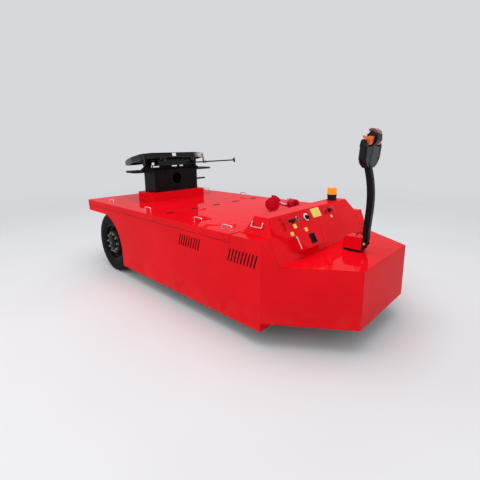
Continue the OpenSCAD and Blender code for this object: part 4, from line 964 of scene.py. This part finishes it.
class TUG_OT_wheels(Step, bpy.types.Operator):
    """Builds the rear tyres with their tread, and the rims with nuts, hub caps, grease points and valves"""
    bl_idname = "tug.wheels"
    bl_label = "Rear wheels"
    # One sidewall from bead to shoulder: radius and distance from the middle
    SIDEWALL = [
        (0.2222, 0.0845), (0.237, 0.0845), (0.2385, 0.0925), (0.2425, 0.0955), (0.256, 0.1003), (0.262, 0.1012),
        (0.2635, 0.0978), (0.2705, 0.0978), (0.272, 0.1022), (0.286, 0.1024), (0.312, 0.1024), (0.3135, 0.0988),
        (0.3195, 0.0986), (0.321, 0.1018), (0.338, 0.1006), (0.352, 0.0992), (0.3625, 0.0965), (0.3705, 0.0925),
        (0.3745, 0.086), (0.3757, 0.070)]
    # The tread's three grooves: radius and distance from the groove's middle
    GROOVE = ((0.376, -0.0048), (0.3668, -0.0035), (0.3668, 0.0035), (0.376, 0.0048))
    RIBS = ((0.376, -0.025), (0.376, 0.025))
    BEAD = SIDEWALL[0][0]
    # Each lug takes six of the tyre's sides: two are cut away, and a slit is in the ribs of the fourth
    LUG_SIDES = 6
    NUTS, NUT_CIRCLE = 10, 0.1165
    HUB_CAP = [(0.058, 0.1178), (0.058, 0.120), (0.054, 0.1225), (0.02, 0.1235), (0.006, 0.1235)]
    GREASE_POINT = [(0.006, 0.1232), (0.006, 0.1242), (0.0035, 0.1242)]

    def tyre(self, sizes):
        """One tyre about Z, its middle at the origin."""
        first, second, third = ([(r, y + middle_y) for r, y in self.GROOVE] for middle_y in (-0.05, 0.0, 0.05))
        tread = first + [self.RIBS[0]] + second + [self.RIBS[1]] + third
        rows = [(r, -y) for r, y in self.SIDEWALL] + tread + self.SIDEWALL[::-1]
        sides = sizes.tread_lugs * self.LUG_SIDES
        obj = turned("tyre", rows, sides, cap=False)
        pick(obj, lambda spot, along: abs(spot.xy.length - self.BEAD) < 0.0012, "EDGE")
        bpy.ops.mesh.bridge_edge_loops()
        bpy.ops.mesh.select_all(action="SELECT")
        bpy.ops.mesh.normals_make_consistent(inside=False)
        done_editing()

        def side_of_lug(spot):
            return int((math.atan2(spot.y, spot.x) / math.tau % 1.0) * sides + 1e-6) % self.LUG_SIDES

        pick(obj, lambda spot, normal: side_of_lug(spot) < 2 and abs(spot.z) > 0.062 and spot.xy.length > 0.352)
        bpy.ops.mesh.extrude_region_shrink_fatten(TRANSFORM_OT_shrink_fatten={"value": -sizes.tread_depth})
        done_editing()
        pick(obj, lambda spot, normal: side_of_lug(spot) == 3 and 0.006 < abs(spot.z) < 0.044
             and spot.xy.length > 0.374)
        bpy.ops.mesh.inset(thickness=0.0022)
        bpy.ops.mesh.extrude_region_shrink_fatten(TRANSFORM_OT_shrink_fatten={"value": -0.004})
        done_editing()
        return smooth(obj, 30)

    def build(self, sizes):
        pattern = self.tyre(sizes)
        for side, name in ((-1, "right"), (1, "left")):
            body = "wheel_" + name
            # The middle of the wheel, with Z outwards
            out = at(WHEEL_CENTRE.x, side * abs(WHEEL_CENTRE.y), WHEEL_CENTRE.z, (0, side, 0))
            tyre = moved(placed(f"tyre_{name}_tread", pattern.data.copy()), out)
            dress(tyre, "tyre", "tyre_" + name, body=body)
            skin("rim_" + name, "rim", 0.0012, 1, 30)
            ring = [out @ Matrix.Rotation(math.tau * i / self.NUTS, 4, "Z")
                    @ Matrix.Translation((self.NUT_CIRCLE, 0, 0.092)) for i in range(self.NUTS)]
            stud = eased(rod("stud", 0.0095, (0, 0, 0.016), (0, 0, 0.026), 20), 0.0012, 1)
            nut = joined("nut", [hex_bolt(0.028, 0.018), stud])
            dress_copies(f"wheel_nuts_{name}", nut, ring, "machined", body=body)
            dress_turned(f"hub_cap_{name}", self.HUB_CAP, 40, out, "rim", body=body)
            dress_turned(f"grease_point_{name}", self.GREASE_POINT, 20, out, "zinc", body=body)
            valve = joined(f"valve_{name}", [rod("stem", 0.004, (0.184, 0, 0.05), (0.173, 0, 0.092), 16),
                                             rod("cap", 0.0052, (0.1745, 0, 0.086), (0.1715, 0, 0.098), 16)])
            dress(moved(valve, out), "moulded", body=body)
        bpy.data.objects.remove(pattern)


class TUG_OT_tiller(Step, bpy.types.Operator):
    """Smooths the tiller's moulded head, lays a grey insert on its left half as partly painted light, and
    finishes its arm, controls and bracket, with a black block under the steering cap as painted shade
    """
    bl_idname = "tug.tiller"
    bl_label = "Tiller"
    # The head's side towards the driver that the grey insert covers, on its left half only, where the grey is
    # partly painted light on that half: from and to, across and up
    INSERT_Y, INSERT_Z = (0.003, 0.1), (1.395, 1.563)
    PIN_END = [(0.0115, 0), (0.0115, 0.003), (0.0075, 0.0035), (0.0075, 0.007), (0.006, 0.008)]

    def build(self, sizes):
        skin("tiller_arm", "black", 0.007, 4)
        skin("tiller_bracket", "black", 0.0012)
        skin("tiller_paddles", "orange", 0.004, 3, 30)
        skin("tiller_button", "maroon", 0.005, 4, 50)
        head = copied("tiller_head_shell", "tiller_head", False)
        apply_modifier(head, "REMESH", mode="VOXEL", voxel_size=0.0022)
        apply_modifier(head, "SMOOTH", factor=0.5, iterations=10)
        hold(head)
        bpy.ops.object.shade_smooth()
        # The grey insert covers the left half only: partly the head's own grey, partly painted light falling on
        # that half
        insert = placed("tiller_lit_insert", head.data.copy())
        (y0, y1), (z0, z1) = self.INSERT_Y, self.INSERT_Z
        pick(insert, lambda spot, normal: not (normal.x > 0.5 and y0 < spot.y < y1 and z0 < spot.z < z1))
        bpy.ops.mesh.delete(type="FACE")
        done_editing()
        apply_modifier(insert, "SOLIDIFY", thickness=0.0015, offset=1.0)
        dress(smooth(insert), "grey", body="tiller")
        dress(head, "shell", "tiller_head", body="tiller")
        # A black block in the gap under the steering cap: painted shade where the raised cap leaves a gap
        low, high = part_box("steering_cap")
        base = slab("cap_shade_block", (low.x + 0.004, low.y + 0.004, NOSE_Z + 0.006),
                    (high.x - 0.004, high.y - 0.004, low.z + 0.003))
        dress(base, "moulded", body="steering")
        low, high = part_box("tiller_bracket")
        pin = pivot("tiller_pull")
        places = [at(pin.x, high.y - 0.002, pin.z, (0, 1, 0)), at(pin.x, low.y + 0.002, pin.z, (0, -1, 0))]
        dress_copies("tiller_pin_ends", turned("pin_end", self.PIN_END, 24), places, "zinc", 35, "steering")


class TUG_OT_frame_finishes(Step, bpy.types.Operator):
    """Gives every CAD node that stays its material"""
    bl_idname = "tug.frame_finishes"
    bl_label = "Frame finishes"
    STAYS = {
        "primer": ("arch_bulkhead", "floor_pan", "rear_rails", "rear_axle", "deck_beams", "steer_plate",
                   "steering_fork"),
        "bright": ("deck_handles", "console_handles", "charge_door_handle"),
        "machined": ("lock_jaw", "drive_hub"),
        "battery": ("battery_block",),
        "black": ("drive_motor",),
        "drive_tyre": ("drive_tyre",)}

    def build(self, sizes):
        finishes = {node: finish for finish, nodes in self.STAYS.items() for node in nodes}
        for name, obj in NODES.items():
            if not obj.hide_render:
                obj.data.materials.clear()
                obj.data.materials.append(finish_of(finishes[name]))


class TUG_OT_stage(Step, bpy.types.Operator):
    """Lays the pale floor and sets the soft studio light"""
    bl_idname = "tug.stage"
    bl_label = "Stage"
    BACKDROP = "#D6D8DB"
    # Where the floor starts to fade into the backdrop and has faded, in metres from the origin
    FADE_START, FADE_END = 4.0, 11.0
    # Place, size in metres and power in watts
    LAMPS = {"overhead": ((0.5, -1.0, 6.5), 6.0, 190.0), "near_side": ((0.5, -6.5, 2.6), 4.5, 60.0)}
    AIM = (0, 0, 0.6)

    def build(self, sizes):
        clear()
        bpy.ops.mesh.primitive_circle_add(vertices=96, radius=60, fill_type="NGON", location=(0, 0, 0))
        floor = settled("floor")
        made, place = begin("pale_floor")
        tone = patches(place, 1.5, 3.0)
        shader = add(place, "BsdfPrincipled", {
            "Roughness": 0.8, "Specular IOR Level": 0.2,
            "Base Color": add(place, "Mix", {0: tone, 6: "#E0E0E1", 7: "#DDDDDE"}, **COLOURS)})
        far = add(place, "VectorMath", {0: place}, "Value", operation="LENGTH")
        ends = {"From Min": self.FADE_START, "From Max": self.FADE_END}
        share = add(place, "MapRange", {"Value": far, **ends}, **SMOOTH)
        glow = add(place, "Emission", {"Color": self.BACKDROP})
        add(place, "OutputMaterial", {"Surface": add(place, "MixShader", {0: share, 1: shader, 2: glow})}, None)
        floor.data.materials.append(made)
        world = bpy.data.worlds.new("studio")
        bpy.context.scene.world = world
        world.use_nodes = True
        tree = world.node_tree
        tree.nodes.clear()
        light = add(tree, "Background", {"Color": "#F4F6FA", "Strength": 0.85})
        seen = add(tree, "Background", {"Color": self.BACKDROP, "Strength": 1.0})
        camera_ray = add(tree, "LightPath", out="Is Camera Ray")
        add(tree, "OutputWorld", {"Surface": add(tree, "MixShader", {0: camera_ray, 1: light, 2: seen})}, None)
        for name, (place, size, power) in self.LAMPS.items():
            lamp = bpy.data.lights.new(name, "AREA")
            lamp.size = size
            lamp.energy = power
            placed(name, lamp).matrix_world = at(*place, Vector(place) - Vector(self.AIM))
        bpy.context.scene.view_settings.view_transform = "Standard"


STEPS = (TUG_OT_camera, TUG_OT_lead, TUG_OT_panels, TUG_OT_body_screws, TUG_OT_louvre_screens,
         TUG_OT_deck_fittings, TUG_OT_console, TUG_OT_slope, TUG_OT_controls, TUG_OT_beacon,
         TUG_OT_air_couplings, TUG_OT_coupling, TUG_OT_wheels, TUG_OT_tiller, TUG_OT_frame_finishes,
         TUG_OT_stage)


class TUG_PT_panel(bpy.types.Panel):
    """Lists the tug's steps, sizes and colours"""
    bl_idname = "TUG_PT_panel"
    bl_label = "Airport Tug"
    bl_space_type = "VIEW_3D"
    bl_region_type = "UI"
    bl_category = "Airport Tug"

    def draw(self, context):
        for group in (context.scene.tug_sizes, context.scene.tug_colours):
            for key in group.bl_rna.properties.keys():
                if key not in ("rna_type", "name"):
                    self.layout.prop(group, key)
        for step in STEPS:
            self.layout.operator(step.bl_idname)


CLASSES = (TUG_PG_colours, TUG_PG_sizes) + STEPS + (TUG_PT_panel,)


def register():
    for cls in CLASSES:
        bpy.utils.register_class(cls)
    bpy.types.Scene.tug_sizes = bpy.props.PointerProperty(type=TUG_PG_sizes)
    bpy.types.Scene.tug_colours = bpy.props.PointerProperty(type=TUG_PG_colours)


def unregister():
    del bpy.types.Scene.tug_colours
    del bpy.types.Scene.tug_sizes
    for cls in reversed(CLASSES):
        bpy.utils.unregister_class(cls)


def main():
    register()
    for step in STEPS:
        getattr(bpy.ops.tug, step.bl_idname.split(".")[1])()


if __name__ == "__main__":
    main()
